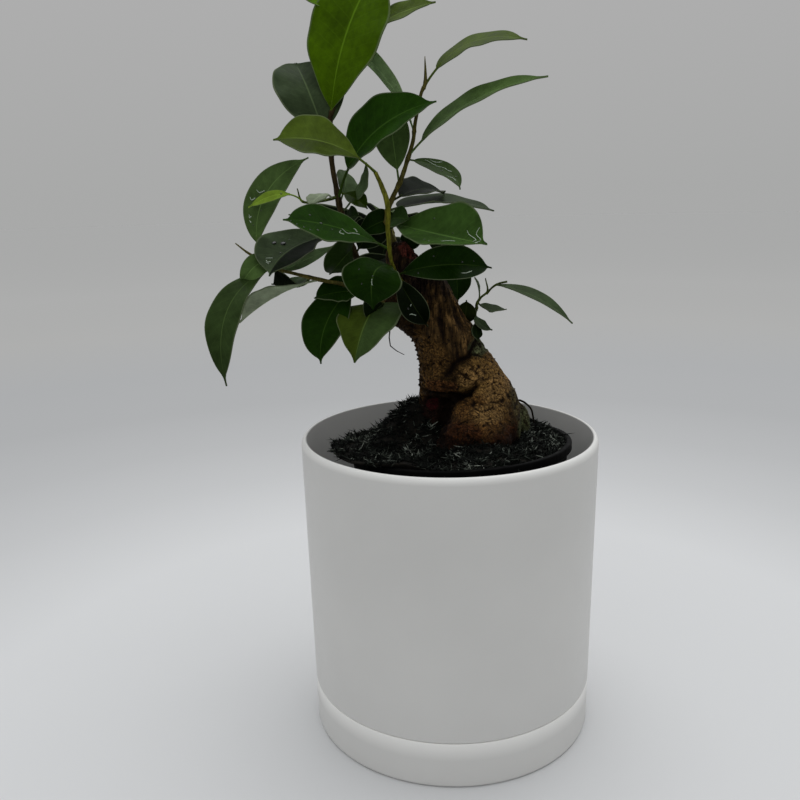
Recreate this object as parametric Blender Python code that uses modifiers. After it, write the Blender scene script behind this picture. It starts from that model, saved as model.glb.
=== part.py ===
"""Ginseng ficus in a plastic pot with a saucer, +Z up, the saucer's underside at z = 0.

Leafy stems are named values in millimetres: each has a route for its woody stem and a list of
leaves, which start on the route and end at their drip tips.
"""
import bpy
import bmesh
from collections import namedtuple
from math import cos, degrees, exp, log, pi, radians, sin, tan
from mathutils import Matrix, Vector, noise

MM = 0.001

# Driving dimensions of the pot, in millimetres
RIM_RADIUS = 72.4
BASE_RADIUS = 70.2
POT_HEIGHT = 149.0
POT_WALL = 2.7
SEAM_HEIGHT = 23.0
TOUCH_GAP = 0.3

# Saucer
SAUCER_WALL = 3.0
SAUCER_FLOOR = 3.0
FOOT_PAD_RADIUS = 22.0
FOOT_RING_INNER = 58.0
FOOT_RECESS = 0.8

# Cover pot
SKIRT_CLEARANCE = 0.6
SKIRT_WALL = 2.6
FLOOR_BOTTOM = 24.5
FLOOR_TOP = 27.0
DRAIN_RADIUS = 5.0

# Nursery pot
NURSERY_CENTRE = (5.0, -12.0)
NURSERY_SLANT = (0.04, -0.05)
NURSERY_RIM_RADIUS = 53.0
NURSERY_BASE_RADIUS = 43.0
NURSERY_RIM_HEIGHT = 147.3
NURSERY_WALL = 1.0
NURSERY_LIP = 1.6
NURSERY_LIP_DEPTH = 4.0
NURSERY_DRAIN_RADIUS = 6.0

# Soil
SOIL_CLEARANCE = 0.4
SOIL_LEVEL = 144.8
SOIL_EDGE = 1.0
OVERHANG = 11.0
OVERHANG_HEADING = 198.0
OVERHANG_SPREAD = 66.0
OVERHANG_FADE = 45.0

POT_SIDES = 48
NURSERY_SIDES = 40
SOIL_SIDES = 40
SOIL_RINGS = 8

# Trunk
TRUNK_VOXEL = 2.2
TRUNK_KEEP = 0.2
TRUNK_BOTTOM = 132.0
SOCKET_CLEARANCE = 0.35
SOCKET_DEEPER = 0.4
HOLE_CLEARANCE = 0.7

# Leaves
BLADE_THICKNESS = 0.8
PETIOLE_WIDTH = 1.3
TIP_WIDTH = 0.8
LEAF_FOLD = 14.0
BLADE_STATIONS = (0.0, 0.05, 0.17, 0.35, 0.56, 0.75, 0.88, 1.0)
BODY_SHARE = 0.95
DRIP_SHARE = 0.16
DRIP_WIDTH = 0.15
BLADE_FULLNESS = 0.72
DRIP_TAPER = 1.2
BLEND_POWER = 3

Leaf = namedtuple("Leaf", "at tip width arch face petiole fold belly bow",
                  defaults=(None, LEAF_FOLD, 0.5, 0))
Twig = namedtuple("Twig", "name route radii leaves")
Stem = namedtuple("Stem", "name socket_spans twigs")

# face is where a leaf's upper side looks: compass degrees (0 to the right, 90 to the back, -90 to
# the front) and degrees above level. at counts the points of the twig's route from its root, belly
# is the share of a blade's length at which it is widest, and bow bends its midrib sideways.
LEFT_STEM = Stem("leafy_stem_left", 2, (
    Twig("upright", ((-19, -1, 206), (-27, 1, 213), (-35, 3, 221), (-43, 5, 234), (-46, 6, 242),
                     (-50, 8, 255), (-52, 9, 266), (-54, 10, 280), (-54, 10, 297),
                     (-52, 11, 305), (-49, 13, 320), (-44, 15, 335), (-40, 16, 348),
                     (-38, 16, 357)),
         (1.9, 1.8, 1.7, 1.6, 1.5, 1.4, 1.3, 1.2, 1.1, 1.0, 0.9, 0.8, 0.7, 0.3), (
        Leaf(8.8, (-28, 18, 366), 45, 6.5, (-119, 20), 1.5, 6, belly=0.53, bow=-1),
        Leaf(7.1, (-72, 25, 325), 33.5, 10, (-74, 30), 10, 20, belly=0.45, bow=-2),
        Leaf(8.0, (-49, 30, 331), 14, 3, (-60, 30)),
        Leaf(10.6, (-4, 10, 347), 17.5, 3.5, (-91, 59), 13.5, 12, belly=0.49, bow=1),
        Leaf(11.4, (-71, 8, 374), 22, 4, (-90, 40)),
        Leaf(10.5, (-63, 27, 340), 16, 3, (-80, 40)),
        Leaf(12.0, (-26, 26, 384), 24, 4, (-90, 20)),
        Leaf(5.6, (-4, -9, 303), 30.5, 9, (-87, 51), 14.5, 19, belly=0.45, bow=-4),
        Leaf(4.3, (-78, -33, 230), 27.5, 0.5, (-116, 21), 7, 18, belly=0.57, bow=9),
        Leaf(4.1, (-83, 12, 227), 7.5, 2, (57, 40), 8.5, 10, belly=0.58, bow=1),
        Leaf(3.6, (-56, 1, 227), 20, 7.5, (-26, 20), 1, 17, belly=0.47, bow=4.5),
        Leaf(5.0, (-37, 3, 278), 14, 2, (10, 15)),
        Leaf(5.4, (-49, 21, 275), 13, 2, (-40, 20)),
        Leaf(5.9, (-37, 2, 257), 10, 2, (-90, 60)),
        Leaf(4.6, (-40, -4, 254), 11, 2, (-90, 30)),
    )),
    Twig("side_shoot", ((-51, 9, 263), (-59, 4, 261), (-67, 0, 261), (-69, -2, 267)),
         (0.9, 0.8, 0.7, 0.3), (
        Leaf(2.0, (-90, -12, 259), 5, 10.5, (-79, 27), 8.5, 12, belly=0.53, bow=-0.5),
        Leaf(0.4, (-62, -13, 259), 11, 3.5, (-96, 83), 9, 8, belly=0.53, bow=-1.5),
    )),
))

LOW_LEFT_STEM = Stem("leafy_stem_low_left", 2, (
    Twig("reaching", ((-18, -6, 205), (-28, -8, 212), (-38, -9, 219), (-48, -9, 223),
                      (-57, -9, 225), (-69, -9, 228), (-80, -8, 231), (-86, -8, 235),
                      (-92, -8, 238), (-98, -9, 243)),
         (1.6, 1.5, 1.3, 1.2, 1.1, 1.0, 0.9, 0.8, 0.7, 0.25), (
        Leaf(7.2, (-64, 4, 281), 17.5, 3, (-106, 15), 6.5, 8, belly=0.46, bow=-10),
        Leaf(6.1, (-100, -35, 181), 18.5, 15.5, (-115, 21), 3, 9, belly=0.52, bow=2.5),
        Leaf(6.6, (-95, -18, 224), 10.5, 7.5, (-81, 6), 1, 17, belly=0.46, bow=2),
        Leaf(4.2, (-98, -11, 206), 18.5, 4.5, (57, 68), 9, 23, belly=0.6, bow=3),
        Leaf(4.6, (-86, 10, 222), 24.5, -2, (-29, 49), 14, 32, belly=0.49, bow=5.5),
        Leaf(2.2, (-61, -17, 218), 19, -1, (-91, 57), 1, 12, belly=0.36, bow=2.5),
        Leaf(2.6, (-58, -26, 189), 24.5, -0.5, (-115, 15), 1, 9, belly=0.46, bow=6),
        Leaf(1.3, (-42, -30, 190), 32.5, 7, (-115, 5), 1, 3, belly=0.33, bow=-1.5),
        Leaf(1.1, (-36, -19, 206), 16, 5, (-72, 10), 4.5, bow=2.5),
    )),
))

RIGHT_STEM = Stem("leafy_stem_right", 2, (
    Twig("upright", ((-19, 3, 225), (-23, 4, 236), (-27, 5, 245), (-28, 5, 254), (-26, 4, 260),
                     (-21, 3, 270), (-18, 2, 278), (-15, 1, 287), (-14, 0, 294), (-11, 0, 307),
                     (-9, 0, 312), (-9, 0, 323)),
         (1.8, 1.7, 1.6, 1.5, 1.4, 1.2, 1.1, 1.0, 0.9, 0.8, 0.7, 0.25), (
        Leaf(9.5, (36, -3, 328), 21.5, 7.5, (-90, 71), 8.5, 3, belly=0.43, bow=-7.5),
        Leaf(6.3, (44, -16, 311), 18.5, 6, (-90, 64), 8.5, 15, belly=0.36, bow=-3),
        Leaf(4.8, (-27, 16, 305), 17, 3, (-100, 19), 6.5, belly=0.48, bow=0.5),
        Leaf(6.1, (6, -20, 265), 9, -1.5, (-84, 50), 2.5, 11, belly=0.39, bow=-7),
        Leaf(4.0, (-1, 22, 263), 23, 4, (-118, 52), 4.5, belly=0.46, bow=0.5),
        Leaf(3.3, (22, 2, 255), 24, 2.5, (-90, 82), 4.5, 9, belly=0.33, bow=-10),
        Leaf(2.6, (17, -39, 242), 30, -2, (-90, 45), 4, 29, belly=0.56, bow=-1.5),
        Leaf(7.6, (-56, 33, 342), 10, 6.5, (57, 32), 5, belly=0.53, bow=-1.5),
        Leaf(2.6, (-17, -7, 252), 12, 2, (-90, 30), 3),
    )),
))

FRONT_STEM = Stem("leafy_stem_front", 1, (
    Twig("upright", ((-18, -3, 219), (-22, -12, 226), (-25, -19, 234), (-26, -21, 246),
                     (-26, -21, 259), (-28, -20, 266), (-31, -20, 273)),
         (1.5, 1.4, 1.4, 1.4, 1.3, 1.1, 0.8), (
        Leaf(6.0, (-73, -33, 287), 26, 5.5, (-95, 50), 9, 15, belly=0.57, bow=2),
        Leaf(2.5, (-70, -36, 254), 25.5, 0.5, (-100, 56), 5.5, 5, belly=0.57, bow=4.5),
        Leaf(1.7, (-33, -30, 214), 28, 11.5, (-97, 41), 1, 5, belly=0.59, bow=2),
        Leaf(1.3, (-9, -23, 205), 12, 12.5, (-100, 12), 4, 25, belly=0.62, bow=-1),
        Leaf(1.2, (20, -15, 230), 16, 15, (-88, 22), 2.5, 28, belly=0.55, bow=1.5),
    )),
))

TRUNK_SPROUT = Stem("trunk_sprout", 2, (
    Twig("upright", ((5, -1, 199), (13, 0, 208), (14, 0, 212), (16, 0, 215), (19, 0, 218),
                     (18, 0, 224)),
         (1.0, 0.9, 0.8, 0.7, 0.6, 0.25), (
        Leaf(2.2, (28, 1, 209), 9.5, -4, (-80, 72), 2, 13, belly=0.48, bow=-3.5),
        Leaf(1.2, (21, -5, 200), 6, 0, (-77, 72), 3, belly=0.49, bow=4),
        Leaf(1.4, (14, -10, 196), 6.5, 0, (-55, 9), 8, 10, belly=0.58, bow=1),
        Leaf(2.6, (13, 4, 224), 4, 1, (-20, 10), 4),
    )),
    Twig("leaf_stalk", ((18.5, 0, 216.5), (21, -1, 219.5), (24, -2, 221.5), (28, -3, 222.5)),
         (0.6, 0.6, 0.6, 0.6), (
        Leaf(2.2, (58, -8, 203), 11.5, 4, (-83, 75), 1, 15, belly=0.47, bow=1.5),
    )),
))

BACK_LEFT_STEM = Stem("leafy_stem_back_left", 2, (
    Twig("upright", ((-16, 7, 214), (-22, 16, 226), (-26, 28, 237), (-28, 38, 244),
                     (-29, 44, 251)),
         (1.9, 1.8, 1.6, 1.3, 0.4), (
        Leaf(1.7, (-52, 50, 213), 20, 5, (110, 50), 6),
        Leaf(2.2, (-83, 50, 254), 22, 5, (110, 60), 6),
        Leaf(2.6, (-37, 68, 224), 22, 6, (95, 50), 6),
        Leaf(3.0, (-64, 72, 247), 20, 5, (110, 55), 6),
        Leaf(3.4, (-40, 80, 252), 20, 5, (90, 50), 6),
        Leaf(3.7, (-14, 72, 246), 20, 5, (80, 50), 6),
    )),
))

BACK_RIGHT_STEM = Stem("leafy_stem_back_right", 2, (
    Twig("upright", ((-3, 2, 220), (0, 10, 231), (4, 19, 240), (4, 28, 246), (2, 34, 252)),
         (1.9, 1.8, 1.6, 1.3, 0.4), (
        Leaf(1.7, (5, 23, 210), 15, 1, (-70, 35), 4),
        Leaf(1.9, (5, 46, 226), 18, 5, (60, 50), 5),
        Leaf(2.2, (-6, 64, 230), 20, 6, (90, 50), 5),
        Leaf(2.8, (7, 40, 245), 13, 4, (50, 50), 5),
        Leaf(3.1, (6, 62, 249), 16, 4, (70, 50), 5),
    )),
))

LEAFY_STEMS = (LEFT_STEM, LOW_LEFT_STEM, RIGHT_STEM, FRONT_STEM, TRUNK_SPROUT, BACK_LEFT_STEM,
               BACK_RIGHT_STEM)

# The trunk's swellings as thick routes: points in millimetres, each with its radius
Swelling = namedtuple("Swelling", "route radii")
TRUNK_SWELLINGS = (
    # upper column, which ends in a knee over the hollow
    Swelling(((-4, 0, 228), (-5, 0, 214), (-5, 0, 204), (-2, 0, 196), (0, 0, 188), (1, -1, 176)),
             (9, 11.5, 13.6, 14.2, 14.6, 14.4)),
    # root behind the hollow
    Swelling(((-1, 4, 186), (-3, 4, 172), (-4, 3, 158), (-6, 2, 146), (-5, 2, 128)),
             (12, 11.5, 10.5, 10.5, 11)),
    # right-hand bulge
    Swelling(((8, -3, 194), (10, -3, 185), (12.5, -4, 175), (15, -5, 165), (16, -7, 154),
              (15, -7, 144), (14, -6, 128)),
             (8, 11, 14.8, 18.2, 19.2, 18, 15)),
    # foot in front of the hollow
    Swelling(((16, -13, 163), (13, -17, 153), (11, -18, 142), (11, -17, 128)),
             (12, 18, 17, 13)),
    # stubs that carry the grafted stems
    Swelling(((-8, 0, 203), (-14, 1, 216), (-19, 2, 226), (-22, 3, 235)), (10, 9, 8, 6)),
    Swelling(((-3, -1, 212), (-2, -1, 220), (-2, 0, 227)), (10, 8.5, 6.5)),
    Swelling(((-8, -1, 202), (-17, -3, 207), (-25, -3, 212)), (10, 9, 7.5)),
    # root nub on the right
    Swelling(((27, 0, 162), (34, 2, 157), (38, 4, 147)), (6, 5.5, 4.5)),
)


def clear_scene():
    for obj in list(bpy.data.objects):
        bpy.data.objects.remove(obj)


def new_collection(name):
    collection = bpy.data.collections.new(name)
    bpy.context.scene.collection.children.link(collection)
    return collection


def material(name, colour, roughness, metallic=0.0):
    mat = bpy.data.materials.new(name)
    mat.use_nodes = True
    shader = mat.node_tree.nodes["Principled BSDF"]
    shader.inputs["Base Color"].default_value = (*colour, 1.0)
    shader.inputs["Roughness"].default_value = roughness
    shader.inputs["Metallic"].default_value = metallic
    return mat


def mesh_object(name, mesh, collection, mat):
    obj = bpy.data.objects.new(name, mesh)
    collection.objects.link(obj)
    if mat is not None:
        mesh.materials.clear()
        mesh.materials.append(mat)
    return obj


def shade_round(obj, sharp_degrees=40.0):
    obj.data.shade_smooth()
    obj.data.set_sharp_from_angle(angle=radians(sharp_degrees))


def evaluated_mesh(obj, merge_mm=0.001):
    """The object's mesh with its modifiers applied and its doubles merged."""
    graph = bpy.context.evaluated_depsgraph_get()
    mesh = bpy.data.meshes.new_from_object(obj.evaluated_get(graph))
    work = bmesh.new()
    work.from_mesh(mesh)
    bmesh.ops.remove_doubles(work, verts=work.verts, dist=merge_mm * MM)
    work.to_mesh(mesh)
    work.free()
    return mesh


def turned(name, profile, closed, sides, collection, mat):
    """A profile of (radius, height) in millimetres turned about Z."""
    mesh = bpy.data.meshes.new(name)
    work = bmesh.new()
    verts = [work.verts.new((r * MM, 0.0, z * MM)) for r, z in profile]
    for a, b in zip(verts, verts[1:]):
        work.edges.new((a, b))
    if closed:
        work.edges.new((verts[-1], verts[0]))
    work.to_mesh(mesh)
    work.free()
    obj = mesh_object(name, mesh, collection, mat)
    screw = obj.modifiers.new("Turn", "SCREW")
    screw.steps = screw.render_steps = sides
    screw.use_merge_vertices = True
    screw.merge_threshold = 0.00001
    screw.use_smooth_shade = True
    return obj


def pot_radius(height):
    """The outside of saucer and cover pot, which share one slightly tapered wall."""
    return BASE_RADIUS + (RIM_RADIUS - BASE_RADIUS) * height / POT_HEIGHT


def make_saucer(collection):
    inner = pot_radius(SEAM_HEIGHT) - SAUCER_WALL
    outer = pot_radius(SEAM_HEIGHT)
    profile = [
        (0.0, SAUCER_FLOOR), (inner - 1.2, SAUCER_FLOOR), (inner, SAUCER_FLOOR + 1.2),
        (inner, SEAM_HEIGHT - 0.6), (inner + 0.6, SEAM_HEIGHT), (outer - 0.7, SEAM_HEIGHT),
        (outer, SEAM_HEIGHT - 0.7), (pot_radius(1.6), 1.6), (BASE_RADIUS - 0.5, 0.5),
        (BASE_RADIUS - 1.6, 0.0), (FOOT_RING_INNER + 1.0, 0.0), (FOOT_RING_INNER, FOOT_RECESS),
        (FOOT_PAD_RADIUS + 1.0, FOOT_RECESS), (FOOT_PAD_RADIUS, 0.0), (0.0, 0.0)]
    mat = material("saucer_plastic", (0.62, 0.62, 0.60), 0.42)
    return turned("saucer", profile, False, POT_SIDES, collection, mat)


def make_cover_pot(collection):
    ledge = SEAM_HEIGHT + TOUCH_GAP
    skirt = pot_radius(SEAM_HEIGHT) - SAUCER_WALL - SKIRT_CLEARANCE
    skirt_inner = skirt - SKIRT_WALL
    skirt_foot = SAUCER_FLOOR + TOUCH_GAP
    rim_inner = RIM_RADIUS - POT_WALL
    inner_low = pot_radius(FLOOR_TOP) - POT_WALL
    profile = [
        (rim_inner + 0.9, POT_HEIGHT), (RIM_RADIUS - 0.9, POT_HEIGHT),
        (RIM_RADIUS - 0.2, POT_HEIGHT - 0.4), (RIM_RADIUS, POT_HEIGHT - 1.3),
        (pot_radius(ledge + 0.8), ledge + 0.8), (pot_radius(ledge) - 0.6, ledge),
        (skirt, ledge), (skirt, skirt_foot + 1.0), (skirt - 0.8, skirt_foot),
        (skirt_inner, skirt_foot), (skirt_inner, FLOOR_BOTTOM), (DRAIN_RADIUS, FLOOR_BOTTOM),
        (DRAIN_RADIUS, FLOOR_TOP), (inner_low - 3.0, FLOOR_TOP), (inner_low - 0.9, FLOOR_TOP + 0.9),
        (inner_low, FLOOR_TOP + 3.0), (rim_inner, POT_HEIGHT - 1.3),
        (rim_inner + 0.3, POT_HEIGHT - 0.4)]
    mat = material("pot_plastic", (0.62, 0.62, 0.60), 0.42)
    return turned("cover_pot", profile, True, POT_SIDES, collection, mat)


def nursery_radius(height):
    """The outside of the nursery pot's wall below its lip."""
    base = FLOOR_TOP + TOUCH_GAP
    rise = (height - base) / (NURSERY_RIM_HEIGHT - base)
    wall_top = NURSERY_RIM_RADIUS - NURSERY_LIP
    return NURSERY_BASE_RADIUS + (wall_top - NURSERY_BASE_RADIUS) * rise


def make_nursery_pot(collection):
    base = FLOOR_TOP + TOUCH_GAP
    top = NURSERY_RIM_HEIGHT
    lip_foot = top - NURSERY_LIP_DEPTH
    profile = [
        (NURSERY_RIM_RADIUS - 0.4, top), (NURSERY_RIM_RADIUS, top - 0.5),
        (NURSERY_RIM_RADIUS, lip_foot), (nursery_radius(lip_foot), lip_foot - 0.6),
        (nursery_radius(base + 2), base + 2), (NURSERY_BASE_RADIUS - 1.6, base),
        (NURSERY_DRAIN_RADIUS, base), (NURSERY_DRAIN_RADIUS, base + NURSERY_WALL),
        (NURSERY_BASE_RADIUS - 2.4, base + NURSERY_WALL),
        (nursery_radius(base + 3) - NURSERY_WALL, base + 3),
        (nursery_radius(top) - NURSERY_WALL, top - 0.3),
        (nursery_radius(top) - NURSERY_WALL + 0.5, top)]
    mat = material("nursery_plastic", (0.012, 0.012, 0.013), 0.5)
    upright = turned("nursery_upright", profile, True, NURSERY_SIDES, collection, mat)
    mesh = evaluated_mesh(upright)
    bpy.data.objects.remove(upright)
    slant(mesh)
    return mesh_object("nursery_pot", mesh, collection, mat)


def slant(mesh):
    """Moves an upright mesh to the nursery pot's place and slants it more the higher it is."""
    base = FLOOR_TOP + TOUCH_GAP
    for vert in mesh.vertices:
        x, y, z = vert.co / MM
        rise = (z - base) / (NURSERY_RIM_HEIGHT - base)
        z += rise * (NURSERY_SLANT[0] * x + NURSERY_SLANT[1] * y)
        vert.co = Vector((x + NURSERY_CENTRE[0], y + NURSERY_CENTRE[1], z)) * MM


def soil_height(x, y):
    """The soil's surface in millimetres: level at the wall, heaped against the trunk."""
    def heap(cx, cy, spread, height):
        return height * exp(-((x - cx) ** 2 + (y - cy) ** 2) / (2 * spread ** 2))

    lumps = 0.9 * noise.noise(Vector((x, y, 3.0)) / 9.0)
    heaps = heap(-20, 19, 13, 21) + heap(-50, -6, 15, 4) + heap(30, 28, 16, 4) + heap(9, -24, 11, 5)
    return SOIL_LEVEL + heaps + lumps


def soil_side(angle):
    """The soil's outline from the middle of its surface to its foot, as radius and height."""
    off = abs((degrees(angle) - OVERHANG_HEADING + 180) % 360 - 180)
    share = min(max((OVERHANG_SPREAD - off) / OVERHANG_FADE, 0.0), 1.0)
    raised = min(share * 2, 1.0)
    base = FLOOR_TOP + TOUCH_GAP + NURSERY_WALL + TOUCH_GAP
    wall = NURSERY_WALL + SOIL_CLEARANCE
    inside = nursery_radius(SOIL_LEVEL) - wall
    reach = inside + OVERHANG * max(share * 2 - 1, 0.0)
    crest = NURSERY_RIM_HEIGHT + 2 * SOIL_EDGE - SOIL_LEVEL
    points = []
    for k in range(1, SOIL_RINGS + 1):
        r = reach * k / SOIL_RINGS
        nearness = min(max((r - inside + 12) / 9, 0.0), 1.0)
        top = max(soil_height(r * cos(angle), r * sin(angle)),
                  SOIL_LEVEL + crest * raised * nearness)
        points.append((r, top))
    under = raised * (NURSERY_RIM_HEIGHT + SOIL_EDGE) + (1 - raised) * (top - SOIL_EDGE)
    points += [(reach, under), (inside, under - SOIL_EDGE / 2),
               (nursery_radius(base + 3) - wall, base + 3), (NURSERY_BASE_RADIUS - 3.6, base)]
    return points


def make_soil(collection, trunk, cutters):
    """Outlines set round the middle, with the part over the rim hanging out to the left."""
    work = bmesh.new()
    crown = work.verts.new((0, 0, soil_height(0, 0) * MM))
    sides = []
    for k in range(SOIL_SIDES):
        angle = 2 * pi * k / SOIL_SIDES
        sides.append([work.verts.new(Vector((r * cos(angle), r * sin(angle), z)) * MM)
                      for r, z in soil_side(angle)])
    foot = work.verts.new((0, 0, sides[0][-1].co.z))
    for here, following in zip(sides, sides[1:] + sides[:1]):
        work.faces.new((crown, here[0], following[0]))
        for k in range(len(here) - 1):
            work.faces.new((here[k], here[k + 1], following[k + 1], following[k]))
        work.faces.new((here[-1], foot, following[-1]))
    bmesh.ops.recalc_face_normals(work, faces=work.faces)
    mesh = bpy.data.meshes.new("soil")
    work.to_mesh(mesh)
    work.free()
    slant(mesh)
    mat = material("dark_soil", (0.012, 0.012, 0.010), 0.95)
    soil = mesh_object("soil", mesh, collection, mat)
    shade_round(soil)
    hole = mesh_object("trunk_hole", trunk.data.copy(), cutters, None)
    as_cutter(hole)
    swell = hole.modifiers.new("Clearance", "DISPLACE")
    swell.strength = HOLE_CLEARANCE * MM
    swell.mid_level = 0.0
    cut = soil.modifiers.new("Trunk hole", "BOOLEAN")
    cut.operation = "DIFFERENCE"
    cut.object = hole
    return soil


def as_cutter(obj):
    obj.hide_render = True
    obj.display_type = "WIRE"


def spline_point(points, place):
    """A point of the Catmull-Rom curve through the points, counted from 0 at the first."""
    last = len(points) - 1
    start = min(int(place), last - 1)
    t = place - start
    p1, p2 = Vector(points[start]), Vector(points[start + 1])
    p0 = Vector(points[start - 1]) if start > 0 else p1 * 2 - p2
    p3 = Vector(points[start + 2]) if start + 2 <= last else p2 * 2 - p1
    bend = (p1 * 2 + (p2 - p0) * t + (p0 * 2 - p1 * 5 + p2 * 4 - p3) * t ** 2
            + (p1 * 3 - p0 - p2 * 3 + p3) * t ** 3)
    return bend * 0.5


def tube(name, route, radii, collection, mat, spans=None, steps=2, extra=0.0, sides=1):
    """A tapered tube along a route in millimetres, as a closed mesh."""
    last = len(route) - 1 if spans is None else spans
    places = [k / steps for k in range(int(last * steps) + 1)]
    curve = bpy.data.curves.new(name, "CURVE")
    curve.dimensions = "3D"
    curve.bevel_depth = MM
    curve.bevel_resolution = sides
    curve.use_fill_caps = True
    spline = curve.splines.new("POLY")
    spline.points.add(len(places) - 1)
    for point, place in zip(spline.points, places):
        point.co = (*(spline_point(route, place) * MM), 1.0)
        k = min(int(place), len(radii) - 2)
        point.radius = radii[k] + (radii[k + 1] - radii[k]) * (place - k) + extra
    guide = bpy.data.objects.new(name + "_curve", curve)
    collection.objects.link(guide)
    mesh = evaluated_mesh(guide)
    obj = mesh_object(name, mesh, collection, mat)
    obj.matrix_world = guide.matrix_world
    bpy.data.objects.remove(guide)
    return obj


def ball(name, centre, radius, collection):
    mesh = bpy.data.meshes.new(name)
    work = bmesh.new()
    bmesh.ops.create_uvsphere(work, u_segments=20, v_segments=12, radius=radius * MM,
                              matrix=Matrix.Translation(Vector(centre) * MM))
    work.to_mesh(mesh)
    work.free()
    return mesh_object(name, mesh, collection, None)


def make_trunk(collection, cutters):
    """Swellings with round ends, melted into one body and cut off flat in the soil."""
    pieces = []
    for k, swelling in enumerate(TRUNK_SWELLINGS):
        pieces.append(tube(f"swelling_{k}", swelling.route, swelling.radii, cutters, None,
                           steps=3, sides=6))
        for end in (0, -1):
            pieces.append(ball(f"swelling_end_{k}_{end}", swelling.route[end],
                               swelling.radii[end], cutters))
    work = bmesh.new()
    for piece in pieces:
        work.from_mesh(piece.data)
        bpy.data.objects.remove(piece)
    mesh = bpy.data.meshes.new("trunk")
    work.to_mesh(mesh)
    work.free()
    mat = material("ficus_bark", (0.155, 0.095, 0.045), 0.75)
    trunk = mesh_object("trunk", mesh, collection, None)
    melt = trunk.modifiers.new("Melt", "REMESH")
    melt.mode = "VOXEL"
    melt.voxel_size = TRUNK_VOXEL * MM
    settle = trunk.modifiers.new("Settle", "SMOOTH")
    settle.factor = 0.5
    settle.iterations = 4
    thin = trunk.modifiers.new("Thin out", "DECIMATE")
    thin.ratio = TRUNK_KEEP
    body = evaluated_mesh(trunk)
    bpy.data.objects.remove(trunk)
    work = bmesh.new()
    work.from_mesh(body)
    everything = work.verts[:] + work.edges[:] + work.faces[:]
    cut = bmesh.ops.bisect_plane(work, geom=everything, plane_co=(0, 0, TRUNK_BOTTOM * MM),
                                 plane_no=(0, 0, -1), clear_outer=True)
    rim = [item for item in cut["geom_cut"] if isinstance(item, bmesh.types.BMEdge)]
    bmesh.ops.contextual_create(work, geom=rim)
    bmesh.ops.recalc_face_normals(work, faces=work.faces)
    work.to_mesh(body)
    work.free()
    trunk = mesh_object("trunk", body, collection, mat)
    shade_round(trunk, 60.0)
    return trunk


def cut_sockets(trunk, cutters):
    """A socket in the trunk for the root of each leafy stem."""
    sockets = bpy.data.collections.new("stem_sockets")
    cutters.children.link(sockets)
    for stem in LEAFY_STEMS:
        route = [Vector(point) for point in stem.twigs[0].route]
        route[0] = route[0] + (route[0] - route[1]).normalized() * SOCKET_DEEPER
        as_cutter(tube(stem.name + "_socket", route, stem.twigs[0].radii, sockets, None,
                       spans=stem.socket_spans, extra=SOCKET_CLEARANCE, sides=2))
    cut = trunk.modifiers.new("Stem sockets", "BOOLEAN")
    cut.operation = "DIFFERENCE"
    cut.solver = "MANIFOLD"
    cut.operand_type = "COLLECTION"
    cut.collection = sockets


def compass(face):
    heading, rise = radians(face[0]), radians(face[1])
    return Vector((cos(heading) * cos(rise), sin(heading) * cos(rise), sin(rise)))


def blade_half_width(place, belly):
    """Half the width of an elliptic leaf, from 0 at its base to 1 at the end of its drip tip."""
    share = min(place / BODY_SHARE, 1.0)
    rise = sin(pi * share ** (log(0.5) / log(belly / BODY_SHARE)))
    body = max(rise, 0.0) ** BLADE_FULLNESS
    drip = 0.0
    if place > 0.5:
        drip = DRIP_WIDTH * min((1.0 - place) / DRIP_SHARE, 1.0) ** DRIP_TAPER
    return (body ** BLEND_POWER + drip ** BLEND_POWER) ** (1 / BLEND_POWER)


def make_leaf(name, root, leaf, collection):
    """A flat grid bent into a petiole and a folded, arched blade, then given its thickness."""
    tip = Vector(leaf.tip)
    chord = tip - root
    length = chord.length
    along = chord.normalized()
    facing = compass(leaf.face)
    normal = (facing - along * facing.dot(along)).normalized()
    side = along.cross(normal)
    petiole = min(14.0, 0.24 * length) if leaf.petiole is None else leaf.petiole
    foot = petiole / length
    rows = [(0.0, 0.0), (foot * 0.55, 0.0)]
    rows += [(foot + (1.0 - foot) * s, blade_half_width(s, leaf.belly))
             for s in BLADE_STATIONS]
    work = bmesh.new()
    grid = bmesh.ops.create_grid(work, x_segments=len(rows) - 1, y_segments=2, size=1.0)
    verts = sorted(grid["verts"], key=lambda v: (round(v.co.x, 4), round(v.co.y, 4)))
    for row, (t, share) in enumerate(rows):
        curve = normal * leaf.arch + side * leaf.bow
        midrib = root + chord * t + curve * 4 * t * (1 - t)
        tangent = (chord + curve * 4 * (1 - 2 * t)).normalized()
        out = tangent.cross(normal).normalized()
        lift = out.cross(tangent)
        least = PETIOLE_WIDTH if t < foot + 0.3 * (1 - foot) else TIP_WIDTH
        half = max(share * leaf.width, least) / 2
        for k, across in enumerate((-1, 0, 1)):
            rise = abs(across) * half * tan(radians(leaf.fold)) if share > 0.05 else 0.0
            verts[row * 3 + k].co = (midrib + out * across * half + lift * rise) * MM
    bmesh.ops.triangulate(work, faces=work.faces, quad_method="FIXED")
    bmesh.ops.recalc_face_normals(work, faces=work.faces)
    mesh = bpy.data.meshes.new(name)
    work.to_mesh(mesh)
    work.free()
    obj = mesh_object(name, mesh, collection, None)
    shell = obj.modifiers.new("Thickness", "SOLIDIFY")
    shell.thickness = BLADE_THICKNESS * MM
    shell.offset = 0.0
    solid = evaluated_mesh(obj)
    bpy.data.objects.remove(obj)
    return mesh_object(name, solid, collection, None)


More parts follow.
